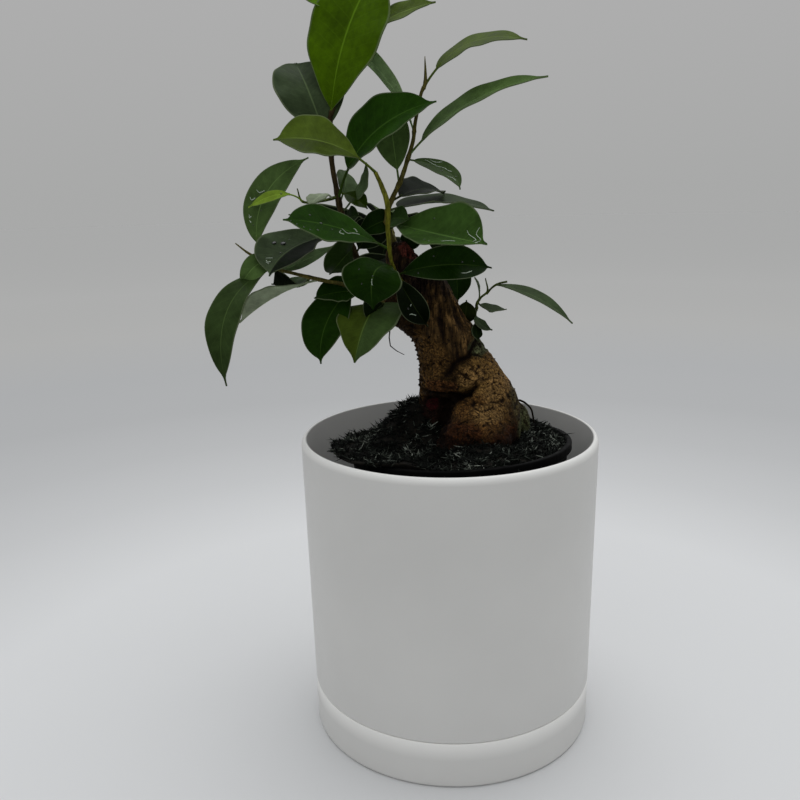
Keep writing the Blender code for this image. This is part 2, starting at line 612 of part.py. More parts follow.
def make_leafy_stem(stem, collection, cutters, mat):
    """A woody stem with its side twigs and leaves, all joined into one body."""
    growth = bpy.data.collections.new(stem.name + "_growth")
    cutters.children.link(growth)
    main = stem.twigs[0]
    body = tube(stem.name, main.route, main.radii, collection, mat)
    for twig in stem.twigs:
        if twig is not main:
            tube(f"{stem.name}_{twig.name}", twig.route, twig.radii, growth, None)
        for k, leaf in enumerate(twig.leaves):
            root = spline_point(twig.route, leaf.at)
            make_leaf(f"{stem.name}_{twig.name}_leaf_{k}", root, leaf, growth)
    join = body.modifiers.new("Join growth", "BOOLEAN")
    join.operation = "UNION"
    join.solver = "MANIFOLD"
    join.operand_type = "COLLECTION"
    join.collection = growth
    joined = evaluated_mesh(body)
    for piece in list(growth.objects):
        bpy.data.objects.remove(piece)
    bpy.data.collections.remove(growth)
    bpy.data.objects.remove(body)
    obj = mesh_object(stem.name, joined, collection, mat)
    shade_round(obj, 50.0)
    return obj


def build():
    clear_scene()
    parts = new_collection("ginseng_ficus")
    cutters = new_collection("cutters")
    make_saucer(parts)
    make_cover_pot(parts)
    make_nursery_pot(parts)
    leaf_green = material("ficus_leaf", (0.035, 0.085, 0.02), 0.35)
    for stem in LEAFY_STEMS:
        make_leafy_stem(stem, parts, cutters, leaf_green)
    trunk = make_trunk(parts, cutters)
    make_soil(parts, trunk, cutters)
    cut_sockets(trunk, cutters)


build()
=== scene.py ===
import math
import random
import bmesh
import bpy
import numpy as np
from mathutils import Matrix, Vector, noise


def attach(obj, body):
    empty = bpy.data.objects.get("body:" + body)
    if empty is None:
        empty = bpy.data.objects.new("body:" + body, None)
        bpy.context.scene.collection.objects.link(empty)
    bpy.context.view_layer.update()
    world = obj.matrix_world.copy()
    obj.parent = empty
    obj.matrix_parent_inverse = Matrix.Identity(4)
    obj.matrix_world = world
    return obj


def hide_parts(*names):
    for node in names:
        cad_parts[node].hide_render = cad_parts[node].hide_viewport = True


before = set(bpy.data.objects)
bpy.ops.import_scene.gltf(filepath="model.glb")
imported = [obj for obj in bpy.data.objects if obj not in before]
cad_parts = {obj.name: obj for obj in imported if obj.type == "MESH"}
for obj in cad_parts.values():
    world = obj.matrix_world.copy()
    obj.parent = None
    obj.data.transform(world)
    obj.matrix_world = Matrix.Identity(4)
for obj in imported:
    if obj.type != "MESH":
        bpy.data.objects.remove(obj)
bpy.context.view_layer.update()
bpy.ops.object.select_all(action="DESELECT")
mm = 0.001
mergeReach = 0.00001      # vertices this close in metres are one
print("frame loaded")


# small helpers: selecting, shaping and painting meshes

def pick(obj):
    bpy.ops.object.select_all(action="DESELECT")
    obj.select_set(True)
    bpy.context.view_layer.objects.active = obj


def rename(obj, name):
    obj.name = name
    obj.data.name = name
    return obj


def intoScene(name, data):
    obj = bpy.data.objects.new(name, data)
    bpy.context.scene.collection.objects.link(obj)
    return obj


def placed(name):
    # the primitive just added, with its place and size taken into its mesh
    bpy.ops.object.transform_apply(location=True, rotation=True, scale=True)
    return rename(bpy.context.object, name)


def copyOf(obj, name):
    return rename(intoScene(name, obj.data.copy()), name)


def joined(objs, name):
    pick(objs[0])
    for obj in objs:
        obj.select_set(True)
    bpy.ops.object.join()
    return rename(objs[0], name)


def applyModifier(obj, kind, name, **settings):
    mod = obj.modifiers.new(name, kind)
    for key, value in settings.items():
        setattr(mod, key, value)
    pick(obj)
    bpy.ops.object.modifier_apply(modifier=mod.name)


def smooth(obj, angle=None):
    pick(obj)
    if angle is None:
        bpy.ops.object.shade_smooth()
    else:
        bpy.ops.object.shade_smooth_by_angle(angle=math.radians(angle))


def sliced(obj, cells):
    # cuts an upright blank of height 1 across, so that it can bend
    pick(obj)
    bpy.ops.object.mode_set(mode="EDIT")
    for k in range(1, cells):
        bpy.ops.mesh.select_all(action="SELECT")
        bpy.ops.mesh.bisect(plane_co=(0, 0, k / cells), plane_no=(0, 0, 1))
    bpy.ops.object.mode_set(mode="OBJECT")


def wear(obj, material):
    obj.data.materials.clear()
    obj.data.materials.append(bpy.data.materials[material])


def getPoints(obj, field="co"):
    flat = np.empty(len(obj.data.vertices) * 3)
    obj.data.vertices.foreach_get(field, flat)
    return flat.reshape(-1, 3)


def setPoints(obj, points):
    obj.data.vertices.foreach_set("co", np.asarray(points, float).ravel())
    obj.data.update()


def paint(obj, name, values):
    # values: one number or one colour for each vertex, or a single colour for all
    attribute = obj.data.attributes.new(name, "FLOAT_COLOR", "POINT")
    count = len(obj.data.vertices)
    values = np.asarray(values, float)
    colours = np.ones((count, 4))
    colours[:, :3] = values[:, None] if values.shape == (count,) else values
    attribute.data.foreach_set("color", colours.ravel())


def noiseField(points, size, seed):
    # smooth noise from -1 to 1 at each point, with features about size metres across
    shift = Vector((seed * 3.7, seed * 1.3, seed * 5.1))
    return np.array([noise.noise(Vector(p) / size + shift) for p in points])


# small helpers: node trees. A colour is (red, green, blue), a stop is (place, grey or colour)

def put(tree, kind, inputs=None, **props):
    made = tree.nodes.new(kind)
    for key, value in props.items():
        setattr(made, key, value)
    for key, value in (inputs or {}).items():
        socket = made.inputs[key]
        if isinstance(value, bpy.types.NodeSocket):
            tree.links.new(value, socket)
        else:
            socket.default_value = value
    return made


def freshMaterial(name, roughness, specular):
    mat = bpy.data.materials.new(name)
    mat.use_nodes = True
    shader = mat.node_tree.nodes["Principled BSDF"]
    shader.inputs["Roughness"].default_value = roughness
    shader.inputs["Specular IOR Level"].default_value = specular
    return mat.node_tree, shader


def objectPlace(tree):
    return put(tree, "ShaderNodeTexCoord").outputs["Object"]


def painted(tree, name, output="Color"):
    return put(tree, "ShaderNodeAttribute", attribute_name=name).outputs[output]


def mathNode(tree, operation, a, b=0.0):
    return put(tree, "ShaderNodeMath", {0: a, 1: b}, operation=operation).outputs[0]


def times(tree, a, b):
    return mathNode(tree, "MULTIPLY", a, b)


def mixColour(tree, factor, a, b, blend="MIX"):
    a, b = [(*c, 1.0) if isinstance(c, tuple) else c for c in (a, b)]
    made = put(tree, "ShaderNodeMix", {0: factor, 6: a, 7: b}, data_type="RGBA", blend_type=blend)
    return made.outputs[2]


def toned(tree, base, shade):
    return mixColour(tree, 1.0, base, shade, "MULTIPLY")


def flecked(tree, base, mask, share, colour):
    return mixColour(tree, times(tree, mask, share), base, colour)


def rampOf(tree, value, *stops):
    made = put(tree, "ShaderNodeValToRGB", {0: value})
    ramp = made.color_ramp
    while len(ramp.elements) < len(stops):
        ramp.elements.new(0.5)
    for element, (place, colour) in zip(ramp.elements, stops):
        element.position = place
        if isinstance(colour, (int, float)):
            colour = (colour, colour, colour)
        element.color = (*colour, 1.0)
    return made.outputs[0]


def objectNoise(tree, scale, detail=4.0, rough=0.55, stretch=None, distortion=0.0):
    place = objectPlace(tree)
    if stretch:
        place = put(tree, "ShaderNodeMapping", {"Vector": place, "Scale": stretch}).outputs[0]
    return put(tree, "ShaderNodeTexNoise", {"Vector": place, "Scale": scale, "Detail": detail,
                                            "Roughness": rough, "Distortion": distortion}).outputs[0]


def finishShader(tree, shader, base, rough=None, height=None, distance=0.0, strength=0.0):
    # colour, roughness and relief; height 1 stands out by the distance in metres
    tree.links.new(base, shader.inputs["Base Color"])
    if rough is not None:
        tree.links.new(rough, shader.inputs["Roughness"])
    if height is not None:
        bump = put(tree, "ShaderNodeBump", {"Height": height, "Distance": distance, "Strength": strength})
        tree.links.new(bump.outputs[0], shader.inputs["Normal"])


# camera, light and floor

cameraFit = {"lens": 38.76, "sensor": 36.0, "place": (0.0, -0.4098, 0.2656),
             "yaw": -0.0577, "down": 0.2399, "roll": -0.0231, "clip": (0.01, 50.0)}


def makeCamera(fit):
    yaw, down, roll = fit["yaw"], fit["down"], fit["roll"]
    ahead = Vector((math.sin(yaw) * math.cos(down), math.cos(yaw) * math.cos(down), -math.sin(down)))
    level = Vector((math.cos(yaw), -math.sin(yaw), 0.0))
    upright = level.cross(ahead)
    right = level * math.cos(roll) + upright * math.sin(roll)
    top = upright * math.cos(roll) - level * math.sin(roll)
    data = bpy.data.cameras.new("photoCamera")
    data.lens = fit["lens"]
    data.sensor_width = fit["sensor"]
    data.clip_start, data.clip_end = fit["clip"]
    camera = intoScene("photoCamera", data)
    turn = Matrix((right, top, -ahead)).transposed()
    camera.matrix_world = Matrix.Translation(fit["place"]) @ turn.to_4x4()
    bpy.context.scene.camera = camera


studio = {
    # sky: (height of its direction, colour), from the horizon to overhead
    "sky": ((0.0, (0.395, 0.398, 0.395)), (0.19, (0.42, 0.42, 0.42)), (0.45, (0.42, 0.42, 0.42)),
            (0.8, (0.86, 0.88, 0.90))),
    # lights: name, place, width and power; all look at the same place over the floor
    "lights": (("softboxBack", (0.12, 0.30, 1.45), 1.3, 6.5), ("softboxFront", (-0.5, -1.1, 0.9), 1.0, 0.6)),
    "lookAt": (0.0, 0.0, 0.15),
    # floor: its grey at each distance in metres, painted shade for the sweep as it falls away from the light
    "floor": ((0.0, 0.68), (0.264, 0.69), (0.40, 0.58), (0.53, 0.515), (0.70, 0.475), (0.95, 0.485),
              (1.36, 0.52), (2.1, 0.56)),
    "floorRadius": 8.0, "sweep": 2.1, "farFrom": 1.0, "nearTint": (1.0, 1.006, 1.012),
    "farTint": (1.037, 1.027, 1.003),
}


def makeWorld(look):
    world = bpy.data.worlds.new("studioAir")
    bpy.context.scene.world = world
    world.use_nodes = True
    tree = world.node_tree
    background = tree.nodes["Background"]
    direction = put(tree, "ShaderNodeTexCoord").outputs["Generated"]
    height = put(tree, "ShaderNodeSeparateXYZ", {0: direction}).outputs[2]
    tree.links.new(rampOf(tree, height, *look["sky"]), background.inputs["Color"])


def softLight(name, place, size, power, target):
    data = bpy.data.lights.new(name, "AREA")
    data.shape = "DISK"
    data.size = size
    data.energy = power
    light = intoScene(name, data)
    aim = (Vector(target) - Vector(place)).to_track_quat("-Z", "Y")
    light.matrix_world = Matrix.Translation(place) @ aim.to_matrix().to_4x4()


def makeFloor(look):
    bpy.ops.mesh.primitive_circle_add(vertices=96, radius=look["floorRadius"], fill_type="NGON")
    floor = rename(bpy.context.object, "studioFloor")
    tree, shader = freshMaterial("paleFloor", 0.9, 0.0)
    reach = put(tree, "ShaderNodeVectorMath", {0: objectPlace(tree)}, operation="LENGTH").outputs["Value"]
    stops = []
    for far, grey in look["floor"]:
        tint = look["nearTint"] if far < look["farFrom"] else look["farTint"]
        stops.append((far / look["sweep"], tuple(grey * c for c in tint)))
    shade = rampOf(tree, mathNode(tree, "DIVIDE", reach, look["sweep"]), *stops)
    finishShader(tree, shader, flecked(tree, shade, objectNoise(tree, 900.0, 2.0), 0.03, (0.4, 0.4, 0.4)))
    wear(floor, "paleFloor")


bpy.context.scene.view_settings.view_transform = "Standard"
makeCamera(cameraFit)
makeWorld(studio)
for light in studio["lights"]:
    softLight(*light, studio["lookAt"])
makeFloor(studio)
print("camera, light and floor made")


# saucer and cover pot: one tapered wall with a thin seam between them

potShape = {
    "rimRadius": 72.4, "baseRadius": 70.2, "height": 149.0, "wall": 2.7, "seam": 23.0, "gap": 0.3,
    "saucerWall": 3.0, "saucerFloor": 3.0, "skirtGap": 0.6, "skirtWall": 2.6, "floorLow": 24.5,
    "floorTop": 27.0, "drain": 5.0, "steps": 192,
    # rounded edges. rimRound is how wide and how deep the rim's outer edge is rounded
    "rimRound": (2.0, 3.4), "innerRound": 0.5, "seamRound": 0.35, "footRound": 1.8, "skirtRound": 0.8,
    "floorRound": 3.0, "dishRound": 1.6, "lipRound": 0.6, "chamfers": (0.3, 0.4),
    # heights of the rings between the rounded edges
    "wallRings": (130.0, 100.0, 70.0, 45.0), "saucerRings": (14.0, 6.0),
    # saucer's underside: a flat ring near its edge and a flat pad in the middle (radius, height)
    "underside": ((60.0, 0.0), (58.6, 0.15), (58.0, 0.8), (24.0, 0.8), (22.6, 0.6), (22.0, 0.0), (0.0, 0.0)),
    # plastic, and its painted highlights along the rim and the seam and its painted shade down the inner wall
    "plastic": (0.70, 0.695, 0.675), "rimHighlight": 0.18, "seamHighlight": 1.35, "innerShade": 0.80,
}


def arc(cx, cz, radius, start, end, count):
    # points of an arc in the plane of radius and height, angles in degrees
    turns = [math.radians(start + (end - start) * k / (count - 1)) for k in range(count)]
    return [(cx + radius * math.cos(a), cz + radius * math.sin(a)) for a in turns]


def turnOutline(name, outline, steps, closed):
    # extrudes one vertex along the outline (radius, height in mm) and spins it round Z
    bpy.ops.mesh.primitive_plane_add(size=mm, location=(outline[0][0] * mm, 0.0, outline[0][1] * mm))
    obj = placed(name)
    bpy.ops.object.mode_set(mode="EDIT")
    bpy.ops.mesh.select_all(action="SELECT")
    bpy.ops.mesh.merge(type="CENTER")
    for (r0, z0), (r1, z1) in zip(outline, outline[1:]):
        step = ((r1 - r0) * mm, 0.0, (z1 - z0) * mm)
        bpy.ops.mesh.extrude_region_move(TRANSFORM_OT_translate={"value": step})
    if closed:
        work = bmesh.from_edit_mesh(obj.data)
        for vert in work.verts:
            vert.select = len(vert.link_edges) == 1
        work.select_flush(True)
        bmesh.update_edit_mesh(obj.data)
        bpy.ops.mesh.edge_face_add()
    bpy.ops.mesh.select_all(action="SELECT")
    bpy.ops.mesh.spin(steps=steps, angle=2 * math.pi, center=(0, 0, 0), axis=(0, 0, 1))
    bpy.ops.mesh.select_all(action="SELECT")
    bpy.ops.mesh.remove_doubles(threshold=mergeReach)
    bpy.ops.mesh.normals_make_consistent(inside=False)
    bpy.ops.object.mode_set(mode="OBJECT")
    smooth(obj, 38)
    return obj


def potRadius(height):
    shape = potShape
    return shape["baseRadius"] + (shape["rimRadius"] - shape["baseRadius"]) * height / shape["height"]


def makeSaucer(s):
    outer = potRadius(s["seam"])
    inner = outer - s["saucerWall"]
    dish, lip, edge, foot = s["dishRound"], s["lipRound"], s["seamRound"], s["footRound"]
    outline = [(0.0, s["saucerFloor"]), (inner - 4.0, s["saucerFloor"])]
    outline += arc(inner - dish, s["saucerFloor"] + dish, dish, -90, 0, 6)
    outline += arc(inner + lip, s["seam"] - lip, lip, 180, 90, 5)
    outline += arc(outer - edge, s["seam"] - edge, edge, 90, 0, 5)
    outline += [(potRadius(z), z) for z in s["saucerRings"]]
    outline += arc(potRadius(foot) - foot, foot, foot, 0, -90, 8)
    outline += s["underside"]
    return turnOutline("saucerTray", outline, s["steps"], False)


def makeCoverPot(s):
    ledge = s["seam"] + s["gap"]
    skirt = potRadius(s["seam"]) - s["saucerWall"] - s["skirtGap"]
    skirtInner = skirt - s["skirtWall"]
    foot = s["saucerFloor"] + s["gap"]
    rimInner = s["rimRadius"] - s["wall"]
    innerLow = potRadius(s["floorTop"]) - s["wall"]
    top, low, floor, drain = s["height"], s["floorLow"], s["floorTop"], s["drain"]
    inner, edge, bend, fillet = s["innerRound"], s["seamRound"], s["skirtRound"], s["floorRound"]
    wide, deep = s["rimRound"]
    small, large = s["chamfers"]
    outline = arc(rimInner + inner, top - inner, inner, 180, 90, 5)
    for x, z in arc(0.0, 0.0, 1.0, 90, 0, 12):
        outline.append((s["rimRadius"] - wide + wide * x, top - deep + deep * z))
    outline += [(potRadius(z), z) for z in s["wallRings"]]
    outline += arc(potRadius(ledge + edge) - edge, ledge + edge, edge, 0, -90, 5)
    outline += [(skirt + small, ledge), (skirt, ledge - large)]
    outline += arc(skirt - bend, foot + bend, bend, 0, -90, 4)
    outline += [(skirtInner, foot), (skirtInner, low - small), (skirtInner - small, low),
                (drain + small, low), (drain, low + small), (drain, floor - large), (drain + large, floor)]
    outline += arc(innerLow - fillet, floor + fillet, fillet, -90, 0, 8)
    return turnOutline("coverPot", outline, s["steps"], True)


def paintShade(obj, s):
    # a little lighter along the rim and the seam's edge as painted highlights, darker down the inner wall as
    # painted shade
    r, z = np.hypot(*getPoints(obj).T[:2]) / mm, getPoints(obj)[:, 2] / mm
    shade = 1.0 + s["rimHighlight"] * np.clip((z - s["height"] + s["rimRound"][1]) / 2.0, 0.0, 1.0)
    shade = np.where((z > s["seam"] - 0.36) & (z < s["seam"] + 0.1), s["seamHighlight"], shade)
    inside = (r < potRadius(z) - 2.2) & (z > s["floorTop"])
    paint(obj, "shade", np.where(inside, s["innerShade"], shade))


def potPlastic(name, tone):
    # satin plastic with the faint sparkle and cloudiness of a recycled blend
    tree, shader = freshMaterial(name, 0.42, 0.42)
    cloud = rampOf(tree, objectNoise(tree, 18.0, 3.0), (0.3, 0.0), (0.7, 1.0))
    base = mixColour(tree, cloud, tone, tuple(c * 0.955 for c in tone))
    fleck = rampOf(tree, objectNoise(tree, 1500.0, 2.0, 0.7), (0.62, 0.0), (0.72, 1.0))
    base = flecked(tree, base, fleck, 0.05, (0.30, 0.29, 0.27))
    # painted highlights on the rim and the seam's edge, painted shade down the inner wall
    base = toned(tree, base, painted(tree, "shade"))
    sheen = rampOf(tree, objectNoise(tree, 240.0, 3.0), (0.3, 0.38), (0.7, 0.47))
    finishShader(tree, shader, base, sheen, objectNoise(tree, 700.0, 3.0, 0.6), 0.00006, 0.35)


saucer = makeSaucer(potShape)
coverPot = makeCoverPot(potShape)
for piece, plastic in ((saucer, "saucerPlastic"), (coverPot, "potPlastic")):
    paintShade(piece, potShape)
    potPlastic(plastic, potShape["plastic"])
    wear(piece, plastic)
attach(saucer, "root")
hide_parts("saucer")
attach(coverPot, "root")
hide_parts("cover_pot")
print("saucer and cover pot made")


# nursery pot: thin black plastic, its rim higher at the front right

nursery = {"centre": (5.0, -12.0), "slant": (0.04, -0.05), "rimRadius": 53.0, "baseRadius": 43.0,
           "base": 27.3, "rim": 147.3, "wall": 1.0, "lip": 1.6, "lipDepth": 4.0, "lipRound": 0.7,
           "drain": 6.0, "wallRings": (125.0, 100.0, 70.0, 45.0), "steps": 128, "bend": 0.4}


def nurseryRadius(height):
    rise = (height - nursery["base"]) / (nursery["rim"] - nursery["base"])
    return nursery["baseRadius"] + (nursery["rimRadius"] - nursery["lip"] - nursery["baseRadius"]) * rise


def slanted(points):
    # upright points in metres, moved to the nursery pot's place and slanted with their height
    n = nursery
    x, y, z = points.T / mm
    rise = (z - n["base"]) / (n["rim"] - n["base"])
    z = z + rise * (n["slant"][0] * x + n["slant"][1] * y)
    return np.stack([x + n["centre"][0], y + n["centre"][1], z], 1) * mm


def makeNurseryPot(n):
    base, top, wall, edge = n["base"], n["rim"], n["wall"], n["lipRound"]
    lipFoot = top - n["lipDepth"]
    outline = arc(n["rimRadius"] - edge, top - edge, edge, 90, 0, 6)
    outline += [(n["rimRadius"], lipFoot + 0.3), (n["rimRadius"] - 0.3, lipFoot)]
    outline += [(nurseryRadius(lipFoot), lipFoot - 0.5)]
    outline += [(nurseryRadius(z), z) for z in (*n["wallRings"], base + 2)]
    outline += [(n["baseRadius"] - 1.6, base), (n["drain"], base), (n["drain"], base + wall),
                (n["baseRadius"] - 2.4, base + wall), (nurseryRadius(base + 3) - wall, base + 3)]
    outline += [(nurseryRadius(z) - wall, z) for z in (*reversed(n["wallRings"]), top - 0.5)]
    outline += [(nurseryRadius(top) - wall + 0.5, top)]
    pot = turnOutline("nurseryPot", outline, n["steps"], True)
    points = getPoints(pot)
    bend = noiseField(points, 0.02, 7.0) * n["bend"] * mm          # a soft wall is never quite round
    rise = np.clip((points[:, 2] / mm - 60.0) / 90.0, 0.0, 1.0)
    points[:, :2] *= (1.0 + (bend * rise / (n["rimRadius"] * mm)))[:, None]
    setPoints(pot, slanted(points))
    return pot


def nurseryPlastic():
    tree, shader = freshMaterial("nurseryBlack", 0.5, 0.03)
    dust = rampOf(tree, objectNoise(tree, 160.0, 6.0, 0.65), (0.45, 0.0), (0.75, 1.0))
    base = flecked(tree, (0.0018, 0.0018, 0.0020), dust, 0.5, (0.008, 0.0075, 0.0065))
    rub = rampOf(tree, objectNoise(tree, 400.0, 4.0, 0.6, (1.0, 1.0, 0.15)), (0.3, 0.38), (0.7, 0.62))
    finishShader(tree, shader, base, rub, objectNoise(tree, 500.0, 4.0, 0.6, (1.0, 1.0, 0.2)), 0.0001, 0.4)


nurseryPot = makeNurseryPot(nursery)
nurseryPlastic()
wear(nurseryPot, "nurseryBlack")
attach(nurseryPot, "root")
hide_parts("nursery_pot")
print("nursery pot made")


# routes: points that a stem, a stalk or a swelling follows

def routePoint(route, place):
    # the Catmull-Rom curve through the points, counted from 0 at the first
    last = len(route) - 1
    start = min(max(int(place), 0), last - 1)
    t = place - start
    p1, p2 = Vector(route[start]), Vector(route[start + 1])
    p0 = Vector(route[start - 1]) if start > 0 else p1 * 2 - p2
    p3 = Vector(route[start + 2]) if start + 2 <= last else p2 * 2 - p1
    bend = (p1 * 2 + (p2 - p0) * t + (p0 * 2 - p1 * 5 + p2 * 4 - p3) * t ** 2
            + (p1 * 3 - p0 - p2 * 3 + p3) * t ** 3)
    return bend * 0.5


def routeFrames(centres):
    # a tangent, a side and a lift for each centre, turned as little as possible along the way
    tangents = np.gradient(centres, axis=0)
    tangents /= np.linalg.norm(tangents, axis=1)[:, None]
    side = Vector(tangents[0]).orthogonal().normalized()
    sides = []
    for tangent in tangents:
        tangent = Vector(tangent)
        side = (side - tangent * side.dot(tangent)).normalized()
        sides.append(side.copy())
    sides = np.array(sides)
    return tangents, sides, np.cross(tangents, sides)


def rodBlank(name, sides, cells):
    # a rod of radius 1 along Z from 0 to 1, cut into cells, with a closed end at each side
    bpy.ops.mesh.primitive_cylinder_add(vertices=sides, radius=1.0, depth=1.0, location=(0, 0, 0.5),
                                        end_fill_type="TRIFAN")
    rod = placed(name)
    sliced(rod, cells)
    smooth(rod)
    return rod


def bendRod(rod, route, radii, rings=(), rough=0.0, seed=1.0):
    # bends a rod blank along a route in mm. rings are places where it swells, as at a leaf
    points = getPoints(rod)
    levels, which = np.unique(np.round(points[:, 2], 5), return_inverse=True)
    places = (len(route) - 1) * levels
    centres = np.array([routePoint(route, p) for p in places])
    radius = np.interp(places, range(len(radii)), radii)
    for ring in rings:
        radius = radius * (1.0 + 0.22 * np.exp(-((places - ring) / 0.1) ** 2))
    tangents, sides, lifts = routeFrames(centres)
    x, y = points[:, 0], points[:, 1]
    out = sides[which] * x[:, None] + lifts[which] * y[:, None]
    place = centres[which] + out * radius[which][:, None]
    if rough:
        place += out * (noiseField(place * mm, 0.0025, seed) * rough * radius[which])[:, None]
    setPoints(rod, place * mm)


# trunk: swellings melted together, then given their bark

trunk = {
    "voxel": 0.46, "settle": 80, "bottom": 132.5,
    "swellings": (
        (((-4, 0, 228), (-5, 0, 214), (-5, 0, 204), (-2, 0, 196), (0, 0, 188), (1, -1, 176)),
         (9, 11.5, 13.6, 14.2, 14.6, 14.4)),
        (((-1, 4, 186), (-3, 4, 172), (-4, 3, 158), (-6, 2, 146), (-5, 2, 128)), (12, 11.5, 10.5, 10.5, 11)),
        (((8, -3, 194), (10, -3, 185), (12.5, -4, 175), (15, -5, 165), (16, -7, 154), (15, -7, 144),
          (14, -6, 128)), (8, 11, 14.8, 18.2, 19.2, 18, 15)),
        (((16, -13, 163), (13, -17, 153), (11, -18, 142), (11, -17, 128)), (12, 18, 17, 13)),
        (((-8, 0, 203), (-14, 1, 216), (-19, 2, 226), (-22, 3, 235)), (10, 9, 8, 6)),
        (((-3, -1, 212), (-2, -1, 220), (-2, 0, 227)), (10, 8.5, 6.5)),
        (((-8, -1, 202), (-17, -3, 207), (-25, -3, 212)), (10, 9, 7.5)),
        (((27, 0, 162), (34, 2, 157), (38, 4, 147)), (6, 5.5, 4.5)),
    ),
    # folds across the front: points (x, z), then width and depth
    "folds": (
        (((-17, 170), (-10.7, 171), (-5.4, 169.7), (-0.6, 170), (4.9, 171), (9.6, 173), (13, 176)), 1.2, 4.2),
        (((15, 198), (11.7, 194), (9.6, 188.8), (6.3, 187.6), (2.9, 185.2), (0.6, 181.5)), 1.1, 1.7),
        (((9, 172.5), (6.1, 171.4), (0.8, 167.8), (-1.9, 164.4), (-3.3, 158.9), (-4.1, 151)), 1.5, 2.6),
    ),
    # the column's right side: heights, and how far right it reaches before it is pressed in
    "slim": ((190, 199, 204.8, 214.4, 224, 235), (38, 11.5, 6.4, 0.4, -4.8, -8)), "press": 2.6,
    # cracks: how many, between which heights, how long to each side, and how wide, deep and dark
    "cracks": 85, "crackZone": (150, 200), "crackReach": (1.4, 4.8), "crackWidth": 0.42, "crackDepth": 0.8,
    "crackShade": 0.5, "seed": 23,
    # how far the strands, the fine strands, the lumps, the crumbs and the pits stand out or lie in
    "relief": (1.7, 0.5, 0.8, 0.34, 1.5), "hollow": 2.4, "buried": (136.0, 143.0),
}
# tone, its middle (x, z), its reach (x, z), and how much of it shows only on the front
barkPatches = (
    ("flank", (-9, 190), (9, 15), 0.0), ("bulge", (19, 176), (13, 15), 0.0),
    # the two reddish patches here and the two darkest on the next line darken the foot towards the soil:
    # painted shade over the foot's own reddish tone
    ("lobe", (14, 163), (14, 9), 0.0), ("reddishFootShade", (3, 154), (15, 8), 0.0), ("reddishFootShade", (28, 152), (12, 6), 0.0),
    ("deep", (6, 146), (24, 9), 0.0), ("deep", (27, 147), (14, 7), 0.0), ("knee", (-4, 175), (8, 3.2), 1.0),
    # the first patch here is painted shade down in the hollow
    ("hollowShade", (-8, 161), (9, 8), 1.0), ("red", (-8.5, 164), (2.8, 2.6), 1.0),
    ("mossy", (15, 193), (5, 4.5), 0.5), ("nub", (38, 154), (5, 8), 0.0), ("shade", (-8, 232), (22, 14), 0.0),
    # these three patches are painted highlights on the bulge and the lobe
    ("barkHighlight", (25, 174), (9, 6), 0.0), ("barkHighlight", (20, 165), (9, 4), 0.0), ("barkHighlight", (10, 180), (6, 5), 0.0),
    # the first patch here is painted shade along the bulge's right edge
    ("edgeShade", (33, 172), (3.5, 12), 0.0), ("flank", (-13, 182), (3, 14), 0.0),
    ("cut", (-13, 238), (8, 6), 1.0),
)
barkOver = ("mossy", "shade", "cut")                   # patches that also lie on the column
barkTones = {
    "strand": (0.027, 0.015, 0.005), "crest": (0.078, 0.044, 0.015), "flank": (0.098, 0.052, 0.015),
    "bulge": (0.150, 0.084, 0.024), "lobe": (0.094, 0.046, 0.013), "barkHighlight": (0.170, 0.098, 0.033),
    # the first two tones on the next line are painted shade at the foot, the second over its reddish tone
    "deep": (0.016, 0.006, 0.003), "reddishFootShade": (0.042, 0.015, 0.005), "knee": (0.080, 0.034, 0.012),
    "hollowShade": (0.014, 0.005, 0.004), "red": (0.060, 0.008, 0.010), "mossy": (0.060, 0.066, 0.030),
    "nub": (0.080, 0.088, 0.040), "shade": (0.010, 0.006, 0.004), "cut": (0.120, 0.026, 0.018),
    "edgeShade": (0.060, 0.046, 0.018),
}


def makeTrunkBody():
    lumps = []
    for k, (route, radii) in enumerate(trunk["swellings"]):
        rod = rodBlank(f"swelling{k}", 28, (len(route) - 1) * 4)
        bendRod(rod, route, radii)
        lumps.append(rod)
        for end in (0, -1):
            bpy.ops.mesh.primitive_uv_sphere_add(segments=28, ring_count=16, radius=radii[end] * mm,
                                                 location=[c * mm for c in route[end]])
            lumps.append(placed("swellingEnd"))
    body = joined(lumps, "trunkBark")
    applyModifier(body, "REMESH", "Melt", mode="VOXEL", voxel_size=trunk["voxel"] * mm)
    applyModifier(body, "SMOOTH", "Settle", factor=0.5, iterations=trunk["settle"])
    bpy.ops.object.mode_set(mode="EDIT")
    bpy.ops.mesh.select_all(action="SELECT")
    bpy.ops.mesh.bisect(plane_co=(0, 0, trunk["bottom"] * mm), plane_no=(0, 0, -1), clear_outer=True,
                        use_fill=True)
    bpy.ops.object.mode_set(mode="OBJECT")
    return body


def ridged(points, size, seed, octaves=3):
    total = np.zeros(len(points))
    weight = 1.0
    for k in range(octaves):
        total += weight * (1.0 - np.abs(noiseField(points, size / 2 ** k, seed + k)) * 2.0)
        weight *= 0.5
    return total / 1.75


def smoothStep(low, high, value):
    t = np.clip((value - low) / (high - low), 0.0, 1.0)
    return t * t * (3 - 2 * t)


def lineDistance(points, line):
    # how far each point lies from a line of straight stretches
    nearest = np.full(len(points), 1e9)
    for start, end in zip(np.array(line[:-1], float), np.array(line[1:], float)):
        step = end - start
        share = np.clip((points - start) @ step / (step @ step), 0.0, 1.0)
        gap = points - start - share[:, None] * step
        nearest = np.minimum(nearest, np.sqrt((gap ** 2).sum(1)))
    return nearest


